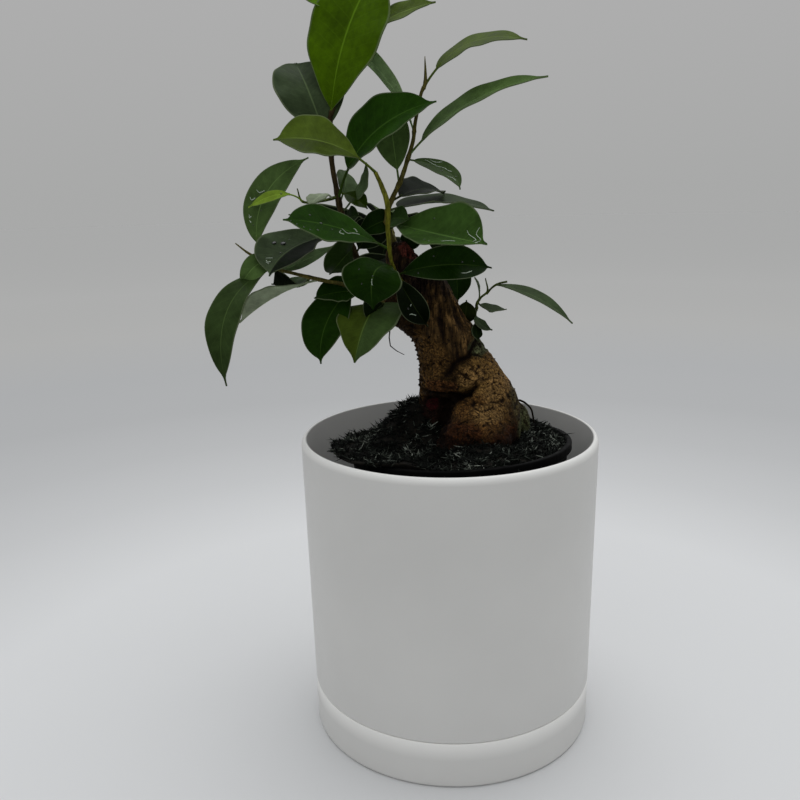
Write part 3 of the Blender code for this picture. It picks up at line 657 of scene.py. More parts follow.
def crackLines(normals, points):
    # short jagged cracks that run across the flank and the swollen foot
    draw = np.random.default_rng(trunk["seed"])
    low, high = trunk["crackZone"]
    zone = np.flatnonzero((points[:, 2] > low) & (points[:, 2] < high))
    lines = []
    for root in draw.choice(zone, trunk["cracks"], replace=False):
        across = np.cross(normals[root], (0.0, 0.0, 1.0))
        across = across / np.linalg.norm(across) + draw.normal(0, 0.28, 3)
        reach = draw.uniform(*trunk["crackReach"])
        kink = draw.normal(0, 0.5, (4, 3))
        lines.append([points[root] + across * reach * t + k for t, k in zip((-1, -0.4, 0.3, 1), kink)])
    return lines


def slimColumn(points):
    # presses in what reaches too far right
    press = trunk["press"]
    over = np.maximum(points[:, 0] / mm - np.interp(points[:, 2] / mm, *trunk["slim"]), 0.0)
    points[:, 0] -= (over - press * (1 - np.exp(-over / press))) * mm


def carveBark(body):
    # strands that run down the column, cracks and crumbs on the foot, and the hollow's fold, with painted
    # shade in the gaps between strands, in the folds and in the cracks
    points, normals = getPoints(body), getPoints(body, "normal")
    slimColumn(points)
    x, y, z = points.T / mm
    front = smoothStep(4.0, -4.0, y)
    edge = 185.0 + np.maximum(1.05 * (x - 3.8), -1.1 * (x - 3.8)) + noiseField(points, 0.006, 2.0) * 2.5
    column = smoothStep(-2.0, 3.0, z - edge) * smoothStep(26.0, 18.0, x)
    fan = np.clip((228.0 - z) / 40.0, 0.0, 1.3)
    wander = noiseField(points, 0.012, 4.0)
    sway = np.stack([(x + 12.0) * 1.4 / (1.0 + fan) + wander * 1.4, y, z * 0.10], 1) * mm
    strands = ridged(sway, 0.0034, 3.0, 2)
    fine = ridged(sway * np.array([1, 1, 1.6]), 0.0018, 9.0, 2)
    lumps = noiseField(points, 0.010, 5.0)
    crumbs = noiseField(points, 0.0019, 8.0)
    pits = np.clip(noiseField(points, 0.0028, 12.0) - 0.25, 0, 1)
    high, low, lumpy, crumbly, pitted = trunk["relief"]
    depth = column * (strands * high + fine * low)
    depth = depth + (1 - column) * (lumps * lumpy + crumbs * crumbly - pits * pitted)
    # painted shade in the gaps between the strands and in the small hollows, then along the folds and in the
    # cracks
    dark = column * smoothStep(0.66, 0.12, strands + 0.35 * fine) + (1 - column) * smoothStep(0.05, 0.4, pits)
    flatPlace = np.stack([x, z], 1)
    for line, width, deep in trunk["folds"]:
        off = lineDistance(flatPlace, line) + noiseField(points, 0.003, 6.0) * 0.5
        near = np.exp(-(np.maximum(off, 0) / width) ** 2) * front
        depth -= near * deep
        dark = np.maximum(dark, near * 1.1)
    hollow = np.exp(-(((x + 6) / 8) ** 2 + ((z - 163.5) / 5) ** 2) ** 2) * front
    depth -= hollow * trunk["hollow"]
    for line in crackLines(normals, points / mm):
        off = lineDistance(points / mm, line)
        depth -= np.exp(-(off / trunk["crackWidth"]) ** 2) * trunk["crackDepth"]
        dark = np.maximum(dark, np.exp(-(off / trunk["crackShade"]) ** 2))
    buried = smoothStep(*trunk["buried"], z)
    setPoints(body, points + normals * (depth * buried * mm)[:, None])
    # the strands' crests, painted lighter: partly their own tone, partly a painted highlight
    crest = column * smoothStep(0.55, 1.0, strands + 0.3 * fine)
    paint(body, "tint", barkTint(points, depth, column, crest, front))
    paint(body, "dark", np.clip(dark, 0.0, 1.0))
    paint(body, "column", column)


def barkTint(points, depth, column, crest, front):
    # the tones of the strands and their crests (partly a painted highlight), then of each patch, with painted
    # light where the bark stands out and painted shade where it lies in
    x, z = points[:, 0] / mm, points[:, 2] / mm
    tint = np.array([barkTones["strand"]] * len(points))
    tint = tint + (np.array(barkTones["crest"]) - tint) * crest[:, None]
    jitter = noiseField(points, 0.007, 15.0) * 0.6 + noiseField(points, 0.0025, 16.0) * 0.4
    for name, (cx, cz), (wide, high), onFront in barkPatches:
        far = ((x - cx) / wide) ** 2 + ((z - cz) / high) ** 2 + jitter
        weight = smoothStep(1.5, 0.5, far) * (1 - column * (name not in barkOver))
        weight = weight * (1 - onFront * (1 - front))
        tint = tint + (np.array(barkTones[name]) - tint) * weight[:, None]
    return np.clip(tint * (1.0 + 0.35 * np.clip(depth, -1, 1))[:, None], 0.0, 1.0)


def barkMaterial():
    tree, shader = freshMaterial("ficusBark", 0.68, 0.05)
    column = painted(tree, "column", "Fac")
    streaks = objectNoise(tree, 900.0, 4.0, 0.65, (1.0, 1.0, 0.12), 0.5)
    grit = objectNoise(tree, 1100.0, 4.0, 0.7)
    patches = objectNoise(tree, 230.0, 4.0, 0.6)
    pattern = put(tree, "ShaderNodeMix", {0: column, 2: grit, 3: streaks}, data_type="FLOAT").outputs[0]
    base = toned(tree, painted(tree, "tint"), rampOf(tree, pattern, (0.32, 0.16), (0.5, 0.9), (0.70, 2.5)))
    base = toned(tree, base, rampOf(tree, patches, (0.3, 0.62), (0.7, 1.35)))
    specks = rampOf(tree, objectNoise(tree, 900.0, 3.0, 0.6), (0.59, 0.0), (0.65, 1.0))
    base = flecked(tree, base, specks, 0.85, (0.008, 0.005, 0.003))
    chips = rampOf(tree, objectNoise(tree, 1500.0, 2.0, 0.5), (0.66, 0.0), (0.72, 1.0))
    base = flecked(tree, base, chips, 0.32, (0.22, 0.14, 0.065))
    base = mixColour(tree, crackle(tree, column, patches), base, (0.016, 0.008, 0.004))
    # painted shade in the gaps, the folds and the cracks
    base = flecked(tree, base, painted(tree, "dark", "Fac"), 0.93, (0.006, 0.003, 0.002))
    height = mathNode(tree, "SUBTRACT", pattern, times(tree, specks, 0.5))
    height = mathNode(tree, "ADD", height, times(tree, patches, 0.5))
    finishShader(tree, shader, base, rampOf(tree, patches, (0.3, 0.45), (0.7, 0.75)), height, 0.0011, 0.8)


def crackle(tree, column, patches):
    # thin cracks between flat cells of bark, in patches on the swollen foot
    place = objectPlace(tree)
    drift = put(tree, "ShaderNodeTexNoise", {"Scale": 420.0, "Detail": 3.0, "Vector": place}).outputs["Color"]
    drift = put(tree, "ShaderNodeVectorMath", {0: drift, "Scale": 0.0022}, operation="SCALE").outputs[0]
    place = put(tree, "ShaderNodeVectorMath", {0: place, 1: drift}, operation="ADD").outputs[0]
    place = put(tree, "ShaderNodeVectorMath", {0: place, 1: (1.0, 1.0, 1.7)}, operation="MULTIPLY").outputs[0]
    cells = put(tree, "ShaderNodeTexVoronoi", {"Scale": 210.0, "Vector": place}, feature="DISTANCE_TO_EDGE")
    lines = rampOf(tree, cells.outputs["Distance"], (0.02, 1.0), (0.07, 0.0))
    lines = times(tree, lines, mathNode(tree, "SUBTRACT", 1.0, column))
    return times(tree, lines, rampOf(tree, patches, (0.42, 0.1), (0.56, 0.9)))


def repeated(blank, name, roots, headings, lengths, widths, bends):
    # copies of the blank, each rooted at a point, heading its own way and bent towards its tip
    points = getPoints(blank)
    faces = [tuple(face.vertices) for face in blank.data.polygons]
    upright = np.array([0.0, 0.0, 1.0])
    sides = np.cross(headings, upright + headings[:, ::-1] * 0.31)
    sides /= np.linalg.norm(sides, axis=1)[:, None]
    lifts = np.cross(headings, sides)
    x, y, z = points.T
    places = (roots[:, None] + headings[:, None] * (z[None, :, None] * lengths[:, None, None])
              + sides[:, None] * (x[None, :, None] * widths[:, None, None])
              + lifts[:, None] * (y[None, :, None] * widths[:, None, None])
              + bends[:, None] * (z[None, :, None] ** 2))
    count = len(points)
    allFaces = [tuple(corner + k * count for corner in face) for k in range(len(roots)) for face in faces]
    mesh = bpy.data.meshes.new(name)
    mesh.from_pydata(places.reshape(-1, 3) * mm, [], allFaces)
    return intoScene(name, mesh), np.tile(z, len(roots))


def makeSpine(name, sides, cells, power):
    # a slender cone from 0 to 1 along Z
    bpy.ops.mesh.primitive_cone_add(vertices=sides, radius1=1.0, radius2=0.0, depth=1.0, location=(0, 0, 0.5))
    spine = placed(name)
    sliced(spine, cells)
    points = getPoints(spine)
    thin = (1 - points[:, 2]) ** power / np.maximum(1 - points[:, 2], 0.001)
    points[:, :2] *= thin[:, None]
    setPoints(spine, points)
    return spine


burrs = {"edge": 150, "spread": 260, "length": (0.6, 1.7), "shorter": 0.55, "width": (0.34, 0.72), "seed": 5}


def makeBurrs(body, look):
    # small dark spurs and dead root ends, thickest on the left flank
    draw = np.random.default_rng(look["seed"])
    points, normals = getPoints(body) / mm, getPoints(body, "normal")
    z = points[:, 2]
    leftEdge = np.flatnonzero((normals[:, 0] < -0.75) & (z > 160) & (z < 212))
    anywhere = np.flatnonzero((z > 152) & (z < 228))
    picked = np.concatenate([draw.choice(leftEdge, look["edge"], replace=False),
                             draw.choice(anywhere, look["spread"], replace=False)])
    headings = normals[picked] + draw.normal(0, 0.45, (len(picked), 3))
    headings /= np.linalg.norm(headings, axis=1)[:, None]
    lengths = draw.uniform(*look["length"], len(picked))
    lengths[look["edge"]:] *= look["shorter"]              # away from the left flank
    spine = makeSpine("burrBlank", 5, 2, 0.4)
    piece, rise = repeated(spine, "barkBurrs", points[picked] - headings * 0.25, headings, lengths,
                           draw.uniform(*look["width"], len(picked)), draw.normal(0, 0.2, (len(picked), 3)))
    bpy.data.objects.remove(spine)
    tones = draw.uniform(0.2, 1.5, len(picked))
    tint = np.array(barkTones["strand"]) * np.repeat(tones, len(rise) // len(picked))[:, None]
    paint(piece, "tint", tint)
    paint(piece, "dark", (0, 0, 0))
    paint(piece, "column", (0, 0, 0))
    return piece


trunkBark = makeTrunkBody()
carveBark(trunkBark)
smooth(trunkBark)
barkBurrs = makeBurrs(trunkBark, burrs)
barkMaterial()
for piece in (trunkBark, barkBurrs):
    wear(piece, "ficusBark")
    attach(piece, "root")
    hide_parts("trunk")
print("trunk made,", len(trunkBark.data.polygons), "faces")


# soil: a dark heap, with moss over it

soil = {"level": 144.8, "edge": 1.0, "overhang": 11.0, "heading": 198.0, "spread": 66.0, "fade": 45.0,
        "rings": 64, "sides": 180,
        # heaps: x, y, how far each spreads and its height
        "heaps": ((-20, 19, 13, 21), (-50, -6, 15, 4), (30, 28, 16, 4), (9, -24, 11, 5)),
        # where along the grid the surface ends, and where its edge ends and the part in the pot starts
        "turn": (0.93, 0.965), "depth": 25.0}


def soilHeight(x, y):
    lumps = 0.9 * noise.noise(Vector((x, y, 3.0)) / 9.0) + 0.5 * noise.noise(Vector((x, y, 9.0)) / 2.7)
    heaps = sum(h * math.exp(-((x - cx) ** 2 + (y - cy) ** 2) / (2 * spread ** 2))
                for cx, cy, spread, h in soil["heaps"])
    return soil["level"] + heaps + lumps


def soilReach(angle):
    # how far the surface is raised over the rim (0 to 1), its outer radius here and the rim's inside
    off = abs((math.degrees(angle) - soil["heading"] + 180) % 360 - 180)
    share = min(max((soil["spread"] - off) / soil["fade"], 0.0), 1.0)
    inside = nurseryRadius(soil["level"]) - nursery["wall"] - 0.4
    return min(share * 2, 1.0), inside + soil["overhang"] * max(share * 2 - 1, 0.0), inside


def soilSurface(angle, share):
    raised, reach, inside = soilReach(angle)
    r = reach * share
    near = min(max((r - inside + 12) / 9, 0.0), 1.0)
    crest = nursery["rim"] + 2 * soil["edge"] - soil["level"]
    x, y = r * math.cos(angle), r * math.sin(angle)
    return x, y, max(soilHeight(x, y), soil["level"] + crest * raised * near)


def soilPoint(angle, share):
    # out along the surface, down its edge, then back and down into the pot
    surface, edge = soil["turn"]
    if share <= surface:
        return soilSurface(angle, share / surface)
    raised, reach, inside = soilReach(angle)
    x, y, top = soilSurface(angle, 1.0)
    under = raised * (nursery["rim"] + soil["edge"]) + (1 - raised) * (top - soil["edge"])
    if share <= edge:
        return x, y, under + (top - under) * (edge - share) / (edge - surface)
    k = (share - edge) / (1.0 - edge)
    r = reach + (inside - 2.0 - reach) * min(k * 2, 1.0)
    return r * math.cos(angle), r * math.sin(angle), under - 0.5 - max(k * 2 - 1, 0.0) * soil["depth"]


def makeSoil():
    # a grid laid round the heap and turned down at its edge into the pot
    bpy.ops.mesh.primitive_grid_add(x_subdivisions=soil["rings"], y_subdivisions=soil["sides"], size=2.0)
    heap = rename(bpy.context.object, "soilHeap")
    points = getPoints(heap)
    made = [soilPoint((y + 1) * math.pi, (x + 1) / 2) for x, y in points[:, :2]]
    setPoints(heap, slanted(np.array(made) * mm))
    bpy.ops.object.mode_set(mode="EDIT")
    bpy.ops.mesh.select_all(action="SELECT")
    bpy.ops.mesh.remove_doubles(threshold=mergeReach)
    bpy.ops.mesh.select_all(action="DESELECT")
    bpy.ops.mesh.select_non_manifold()
    bpy.ops.mesh.edge_face_add()
    bpy.ops.mesh.select_all(action="SELECT")
    bpy.ops.mesh.normals_make_consistent(inside=False)
    bpy.ops.object.mode_set(mode="OBJECT")
    smooth(heap)
    return heap


def soilMaterial():
    tree, shader = freshMaterial("darkSoil", 0.95, 0.15)
    crumbs = objectNoise(tree, 520.0, 6.0, 0.7)
    base = rampOf(tree, crumbs, (0.35, (0.0015, 0.0015, 0.0013)), (0.55, (0.007, 0.006, 0.004)),
                  (0.75, (0.028, 0.022, 0.014)))
    finishShader(tree, shader, base, None, crumbs, 0.0015, 0.8)


soilHeap = makeSoil()
soilMaterial()
wear(soilHeap, "darkSoil")
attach(soilHeap, "root")
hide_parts("soil")
print("soil made")


# moss: one curled thread, repeated over the heap in clumps

moss = {"threads": 8800, "length": (1.0, 2.1), "width": (0.23, 0.40), "curl": 1.6, "seed": 11}
mossSides = {"mossLeft": (90.0, 270.0), "mossRight": (-90.0, 90.0)}


def makeMoss(name, look, sector, seed):
    draw = np.random.default_rng(seed)
    roots, headings, lengths, tones = [], [], [], []
    while len(roots) < look["threads"]:
        angle = math.radians(draw.uniform(*sector))
        share = math.sqrt(draw.uniform(0, 1))
        x, y, z = soilSurface(angle, share)
        clump = noise.noise(Vector((x, y, 4.0)) / 5.0) + 0.6 * noise.noise(Vector((x, y, 8.0)) / 2.0)
        if clump < draw.uniform(-0.4, 0.2):
            continue
        heading = np.array([draw.normal(), draw.normal(), abs(draw.normal()) * 0.50 + 0.10])
        edge = max(share - 0.9, 0.0) * 10.0 * soilReach(angle)[0]
        heading[:2] += np.array([math.cos(angle), math.sin(angle)]) * edge
        headings.append(heading / np.linalg.norm(heading))
        roots.append((x, y, z + draw.uniform(-0.6, 0.9)))
        lengths.append(draw.uniform(*look["length"]) * (1.0 + 0.4 * clump))
        tones.append(min(max(0.45 + 0.9 * clump, 0.1), 1.0) * draw.uniform(0.0, 1.0) ** 2.0)
    roots = slanted(np.array(roots) * mm) / mm
    spine = makeSpine("threadBlank", 3, 3, 0.22)
    threads, rise = repeated(spine, name, roots, np.array(headings), np.array(lengths),
                             draw.uniform(*look["width"], len(roots)),
                             draw.normal(0, look["curl"], (len(roots), 3)) * np.array([1, 1, 0.6]))
    bpy.data.objects.remove(spine)
    tone = np.repeat(np.array(tones), len(rise) // len(roots))
    # each thread darker towards its root: painted shade down among the threads
    paint(threads, "tone", np.clip(tone * (0.6 + 0.4 * rise), 0.0, 1.0))
    return threads


def mossMaterial():
    tree, shader = freshMaterial("darkMoss", 0.8, 0.12)
    patch = rampOf(tree, objectNoise(tree, 70.0, 3.0), (0.36, 0.35), (0.62, 1.0))
    tone = times(tree, painted(tree, "tone", "Fac"), patch)
    base = rampOf(tree, tone, (0.0, (0.0008, 0.0011, 0.0008)), (0.18, (0.006, 0.009, 0.006)),
                  (0.34, (0.085, 0.098, 0.080)), (0.8, (0.46, 0.49, 0.42)))
    grain = rampOf(tree, objectNoise(tree, 1600.0, 2.0), (0.35, 0.6), (0.65, 1.3))
    finishShader(tree, shader, toned(tree, base, grain))


mossMaterial()
for name, sector in mossSides.items():
    threads = makeMoss(name, moss, sector, moss["seed"] + len(name))
    wear(threads, "darkMoss")
    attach(threads, "root")
    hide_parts("soil")
print("moss made")


# leafy stems: one blade blank and one rod blank, bent along the routes

sheetThickness = 0.1                              # of the blank, before it takes a leaf's thickness
# stalk and tip are the least half width at each end, end is where the blade's oval ends before its drip tip
leafLook = {"across": 14, "along": 40, "thickness": 0.5, "stalk": 0.5, "tip": 0.3, "end": 0.94,
            "veins": 13.0, "sweep": 1.9}           # pairs of side veins, and how far each leans to the tip
# hues of leaf green beside a green of 1; each leaf has its own lightness, which also holds painted light and
# shade. The grey hue is a painted sheen, for leaves seen at a slant
greens = {"sap": (0.48, 1.0, 0.01), "forest": (0.30, 1.0, 0.05), "grey": (0.66, 1.0, 0.44),
          "dull": (0.57, 1.0, 0.27), "olive": (0.64, 1.0, 0.10), "pale": (0.84, 1.0, 0.66),
          "fern": (0.46, 1.0, 0.18), "dark": (0.45, 1.0, 0.20)}
twigTones = {"dark": (0.034, 0.024, 0.009), "olive": (0.080, 0.070, 0.016), "yellow": (0.105, 0.108, 0.010),
             "green": (0.050, 0.068, 0.012)}


def leaf(at, tip, width, arch, bow, face, petiole, fold, belly, green, light, half=None, below=1.5,
         wave=0.45, taper=0.18, beads=(), trails=()):
    tone = [c * light for c in greens[green]]
    other = [c * half[1] for c in greens[half[0]]] if half else tone
    return {"at": at, "tip": tip, "width": width, "arch": arch, "bow": bow, "face": face,
            "petiole": petiole, "fold": fold, "belly": belly, "tones": (tone, other), "below": below,
            "wave": wave, "taper": taper, "beads": beads, "trails": trails}


# A leaf: its place on the route, tip, width, the midrib's arch and bow, where its upper side faces
# (heading and rise), petiole, fold, how far out it is widest, green and lightness, which holds the leaf's
# own tone and also painted light and shade for where it sits. Some also have half, the tone of the other
# half, a painted difference in light between the two halves of the folded blade; below, how
# light the under side is beside the upper, over 1 its own paler tone and under 1 painted shade for leaves
# deep in the crown; wave, how much the margin ripples; taper, how broad the drip tip starts; and water:
# beads (share of the length, across, radius) and trails (share, across).
leftStem = {
    "route": ((-19, -1, 206), (-27, 1, 213), (-35, 3, 221), (-43, 5, 234), (-46, 6, 242), (-50, 8, 255),
              (-52, 9, 266), (-54, 10, 280), (-54, 10, 297), (-52, 11, 305), (-49, 13, 320),
              (-44, 15, 335), (-40, 16, 348), (-38, 16, 357)),
    "radii": (1.9, 1.8, 1.7, 1.6, 1.5, 1.4, 1.3, 1.2, 1.1, 1.0, 0.9, 0.8, 0.7, 0.3), "bark": "dark",
    "leaves": (
        leaf(8.5, (-28, 18, 366), 45, 6.5, -1, (-119, 20), 1.5, 6, 0.53, "sap", 0.093),
        leaf(7.1, (-73, 34, 326), 33.5, 10, -2, (-74, 30), 10, 20, 0.45, "grey", 0.053),
        leaf(8.0, (-49, 30, 331), 14, 3, 0, (-60, 30), None, 14, 0.5, "forest", 0.03),
        leaf(10.6, (-4, 10, 347), 17.5, 3.5, 1, (-91, 59), 13.5, 12, 0.49, "olive", 0.11),
        leaf(11.4, (-71, 24, 373), 18, -5, 0, (-90, 40), None, 14, 0.5, "sap", 0.14),
        leaf(10.5, (-60, 34, 346), 11, 0, 0, (-80, 40), None, 14, 0.5, "sap", 0.07),
        leaf(12.0, (-26, 26, 384), 24, 4, 0, (-90, 20), None, 14, 0.5, "sap", 0.07),
        leaf(5.6, (-4, -9, 303), 30.5, 9, -4, (-87, 51), 14.5, 19, 0.45, "forest", 0.036),
        leaf(4.3, (-78, -33, 230), 27.5, 0.5, 9, (-116, 21), 7, 18, 0.57, "forest", 0.0042,
             half=("grey", 0.055), beads=((0.55, 0.62, 1.1), (0.49, 0.45, 1.35), (0.62, 0.2, 0.4),
             (0.4, 0.5, 0.35)), trails=(((0.78, 0.57), (0.76, 0.43), (0.74, 0.29)), ((0.8, 0.55),
             (0.82, 0.45), (0.8, 0.31)), ((0.83, 0.54), (0.84, 0.38)))),
        leaf(4.1, (-83, 12, 227), 7.5, 2, 1, (57, 40), 8.5, 10, 0.58, "grey", 0.17),
        leaf(3.6, (-56, 1, 227), 20, 7.5, 4.5, (-26, 20), 1, 17, 0.47, "fern", 0.032),
        leaf(5.0, (-37, 3, 278), 14, 2, 0, (10, 15), None, 14, 0.5, "grey", 0.08),
        leaf(5.4, (-49, 21, 275), 13, 2, 0, (-40, 20), None, 14, 0.5, "grey", 0.13),
        leaf(4.0, (-22, 11, 253), 13, 4, 0, (-100, 25), 5, 12, 0.52, "forest", 0.018),
        leaf(3.2, (-31, 14, 250), 17, 3, 0, (-95, 20), 3, 12, 0.5, "dark", 0.009),
        leaf(5.9, (-37, 2, 257), 10, 2, 0, (-90, 60), None, 14, 0.5, "sap", 0.034),
        leaf(4.6, (-40, -4, 254), 11, 2, 0, (-90, 30), None, 14, 0.5, "dark", 0.016),
    )}
sideShoot = {
    "route": ((-51, 9, 263), (-59, 4, 261), (-67, 0, 261), (-69, -2, 267)),
    "radii": (0.8, 0.65, 0.55, 0.25), "bark": "green",
    "leaves": (
        leaf(2.0, (-90, -12, 259), 5, 10.5, -0.5, (-79, 27), 8.5, 12, 0.53, "olive", 0.28,
             beads=((0.25, 0.11, 0.5),)),
        leaf(0.4, (-62, -13, 259), 11, 3.5, -1.5, (-96, 83), 9, 8, 0.53, "pale", 0.26),
    )}
lowLeftStem = {
    "route": ((-18, -6, 205), (-28, -8, 212), (-38, -9, 219), (-48, -9, 223), (-57, -9, 225),
              (-69, -9, 228), (-80, -8, 231), (-86, -8, 235), (-92, -8, 238), (-98, -9, 243)),
    "radii": (1.6, 1.4, 1.2, 1.0, 0.9, 0.85, 0.8, 0.75, 0.6, 0.25), "bark": "olive",
    "leaves": (
        leaf(7.2, (-64, 4, 281), 17.5, 3, -10, (-106, 15), 6.5, 8, 0.46, "dull", 0.083,
             trails=(((0.47, -0.63), (0.46, -0.43), (0.5, -0.23)), ((0.39, -0.79), (0.37, -0.66),
             (0.4, -0.51)), ((0.24, -0.66), (0.21, -0.63), (0.23, -0.52)), ((0.19, -0.65), (0.17, -0.54))),
             beads=((0.35, -0.3, 0.4), (0.3, 0.2, 0.3), (0.15, -0.4, 0.35))),
        leaf(6.1, (-100, -35, 181), 18.5, 15.5, 2.5, (-115, 21), 3, 9, 0.52, "dull", 0.045),
        leaf(6.6, (-95, -18, 224), 10.5, 7.5, 2, (-81, 6), 1, 17, 0.46, "dull", 0.14),
        leaf(4.2, (-98, -11, 206), 18.5, 4.5, 3, (57, 68), 9, 23, 0.6, "pale", 0.23),
        # this leaf's under side carries painted shade
        leaf(4.6, (-86, 10, 222), 24.5, -2, 5.5, (-29, 49), 14, 32, 0.49, "dark", 0.035, below=0.05),
        leaf(2.2, (-61, -17, 218), 19, -1, 2.5, (-91, 57), 1, 12, 0.36, "forest", 0.025),
        leaf(2.6, (-58, -26, 189), 24.5, -0.5, 6, (-115, 15), 1, 9, 0.46, "forest", 0.027),
        leaf(1.3, (-42, -30, 190), 32.5, 7, -1.5, (-115, 5), 1, 3, 0.33, "dull", 0.07,
             half=("olive", 0.066), taper=0.30),
        leaf(1.1, (-36, -19, 206), 16, 5, 2.5, (-72, 10), 4.5, 14, 0.5, "dark", 0.012,
             beads=((0.3, -0.5, 0.5),)),
    )}
rightStem = {
    "route": ((-19, 3, 225), (-23, 4, 236), (-27, 5, 245), (-28, 5, 254), (-26, 4, 260), (-21, 3, 270),
              (-18, 2, 278), (-15, 1, 287), (-14, 0, 294), (-11, 0, 307), (-9, 0, 312), (-9, 0, 323)),
    "radii": (1.8, 1.6, 1.5, 1.3, 1.2, 1.1, 1.0, 0.9, 0.85, 0.75, 0.95, 0.15), "bark": "olive",
    "leaves": (
        leaf(9.5, (36, -3, 328), 21.5, 7.5, -7.5, (-90, 71), 8.5, 3, 0.43, "olive", 0.077),
        leaf(6.3, (44, -16, 311), 18.5, 6, -3, (-90, 64), 8.5, 15, 0.36, "dull", 0.098),
        leaf(4.8, (-27, 16, 305), 17, 3, 0.5, (-100, 19), 6.5, 14, 0.48, "dull", 0.125),
        leaf(6.1, (6, -20, 265), 9, -1.5, -7, (-84, 50), 2.5, 11, 0.39, "dull", 0.069,
             trails=(((0.12, -0.61), (0.21, -0.28), (0.33, 0.0), (0.43, -0.28), (0.5, -0.2), (0.57, -0.38)),
             ((0.18, -0.71), (0.26, -0.55), (0.33, -0.8)), ((0.64, 0.8), (0.71, 0.46), (0.8, 0.3))),
             beads=((0.45, 0.4, 0.4), (0.7, -0.3, 0.4))),
        leaf(4.0, (-1, 22, 263), 23, 4, 0.5, (-118, 52), 4.5, 14, 0.46, "forest", 0.0054),
        leaf(3.3, (22, 2, 255), 24, 2.5, -10, (-90, 82), 4.5, 9, 0.33, "grey", 0.047),
        leaf(2.6, (17, -39, 242), 30, -2, -1.5, (-90, 45), 4, 29, 0.56, "fern", 0.076,
             taper=0.24, trails=(((0.73, -0.41), (0.77, -0.31), (0.83, -0.27), (0.87, -0.2), (0.85, 0.05)),
             ((0.85, -0.8), (0.84, -0.5), (0.87, -0.44), (0.92, -0.5), (0.91, -0.2), (0.9, 0.4)),
             ((0.64, 0.56), (0.67, 0.41), (0.72, 0.35))), beads=((0.35, -0.6, 0.5), (0.5, 0.7, 0.45),
             (0.56, 0.72, 0.5), (0.6, -0.2, 0.35), (0.25, 0.3, 0.3))),
        leaf(7.6, (-56, 33, 342), 10, 6.5, -1.5, (57, 32), 5, 14, 0.53, "grey", 0.23),
        leaf(1.0, (-13, 9, 245), 10, 2, 0, (-80, 30), 2, 12, 0.5, "forest", 0.014),
        leaf(2.6, (-17, -7, 252), 12, 2, 0, (-90, 30), 3, 14, 0.5, "dark", 0.036),
    )}
frontStem = {
    "route": ((-18, -3, 219), (-22, -12, 226), (-25, -19, 234), (-26, -21, 246), (-26, -21, 259),
              (-28, -20, 266), (-31, -20, 273)),
    "radii": (1.1, 0.85, 0.85, 1.0, 1.25, 1.15, 0.8), "bark": "yellow",
    "leaves": (
        leaf(6.0, (-73, -33, 287), 26, 5.5, 2, (-95, 50), 9, 15, 0.57, "olive", 0.055,
             half=("olive", 0.093)),
        leaf(2.5, (-70, -36, 254), 25.5, 0.5, 4.5, (-100, 56), 5.5, 5, 0.57, "forest", 0.045,
             beads=((0.71, 0.47, 0.5), (0.67, -0.57, 0.6), (0.61, 0.03, 0.7), (0.93, -0.6, 0.4),
             (0.88, -0.7, 0.45), (0.82, -0.7, 0.5), (0.76, -0.72, 0.5), (0.5, -0.3, 0.4)),
             trails=(((0.39, 0.0), (0.33, -0.33), (0.27, -0.12), (0.2, 0.08)), ((0.27, 0.42), (0.25, 0.43),
             (0.23, 0.26)), ((0.4, -0.2), (0.42, -0.43), (0.37, -0.5)))),
        leaf(1.7, (-33, -30, 214), 28, 11.5, 2, (-97, 41), 1, 5, 0.59, "forest", 0.021,
             taper=0.34, beads=((0.55, 0.03, 0.35), (0.5, 0.6, 0.4), (0.7, 0.42, 0.4)),
             trails=(((0.6, 0.03), (0.66, 0.0), (0.7, -0.06)),)),
        leaf(1.3, (-9, -23, 205), 12, 12.5, -1, (-100, 12), 4, 25, 0.62, "dark", 0.0049,
             trails=(((0.69, 0.66), (0.71, 0.51), (0.76, 0.36)), ((0.6, 0.3), (0.58, 0.15))),
             beads=((0.61, 0.52, 0.45),)),
        leaf(1.2, (20, -15, 230), 16, 15, 1.5, (-88, 22), 2.5, 28, 0.55, "forest", 0.016,
             beads=((0.39, -0.62, 0.45), (0.68, -0.22, 0.5), (0.22, 0.66, 0.5), (0.8, -0.4, 0.3)),
             trails=(((0.64, 0.66), (0.69, 0.68), (0.75, 0.6)),)),
    )}
trunkSprout = {
    "route": ((5, -1, 199), (13, 0, 208), (14, 0, 212), (16, 0, 215), (19, 0, 218), (18, 0, 224)),
    "radii": (1.0, 0.8, 0.65, 0.55, 0.5, 0.25), "bark": "green",
    "leaves": (
        leaf(2.2, (28, 1, 209), 9.5, -4, -3.5, (-80, 72), 2, 13, 0.48, "grey", 0.038),
        leaf(1.2, (21, -5, 200), 6, 0, 4, (-77, 72), 3, 14, 0.49, "grey", 0.035),
        leaf(1.4, (14, -10, 196), 6.5, 0, 1, (-55, 9), 8, 10, 0.58, "dark", 0.009),
        leaf(2.6, (13, 4, 224), 2.6, 1, 0, (-20, 10), 4, 14, 0.5, "grey", 0.06),
        leaf(0.3, (9, -2, 214), 10, 2, 0, (-80, 25), 1, 12, 0.5, "olive", 0.012),
    )}
sproutStalk = {
    "route": ((18.5, 0, 216.5), (21, -1, 219.5), (24, -2, 221.5), (28, -3, 222.5)),
    "radii": (0.55, 0.5, 0.5, 0.5), "bark": "green",
    "leaves": (leaf(1.7, (58, -8, 203), 10.8, 4, 1.5, (-83, 75), 1, 15, 0.47, "grey", 0.068, wave=0.15),)}
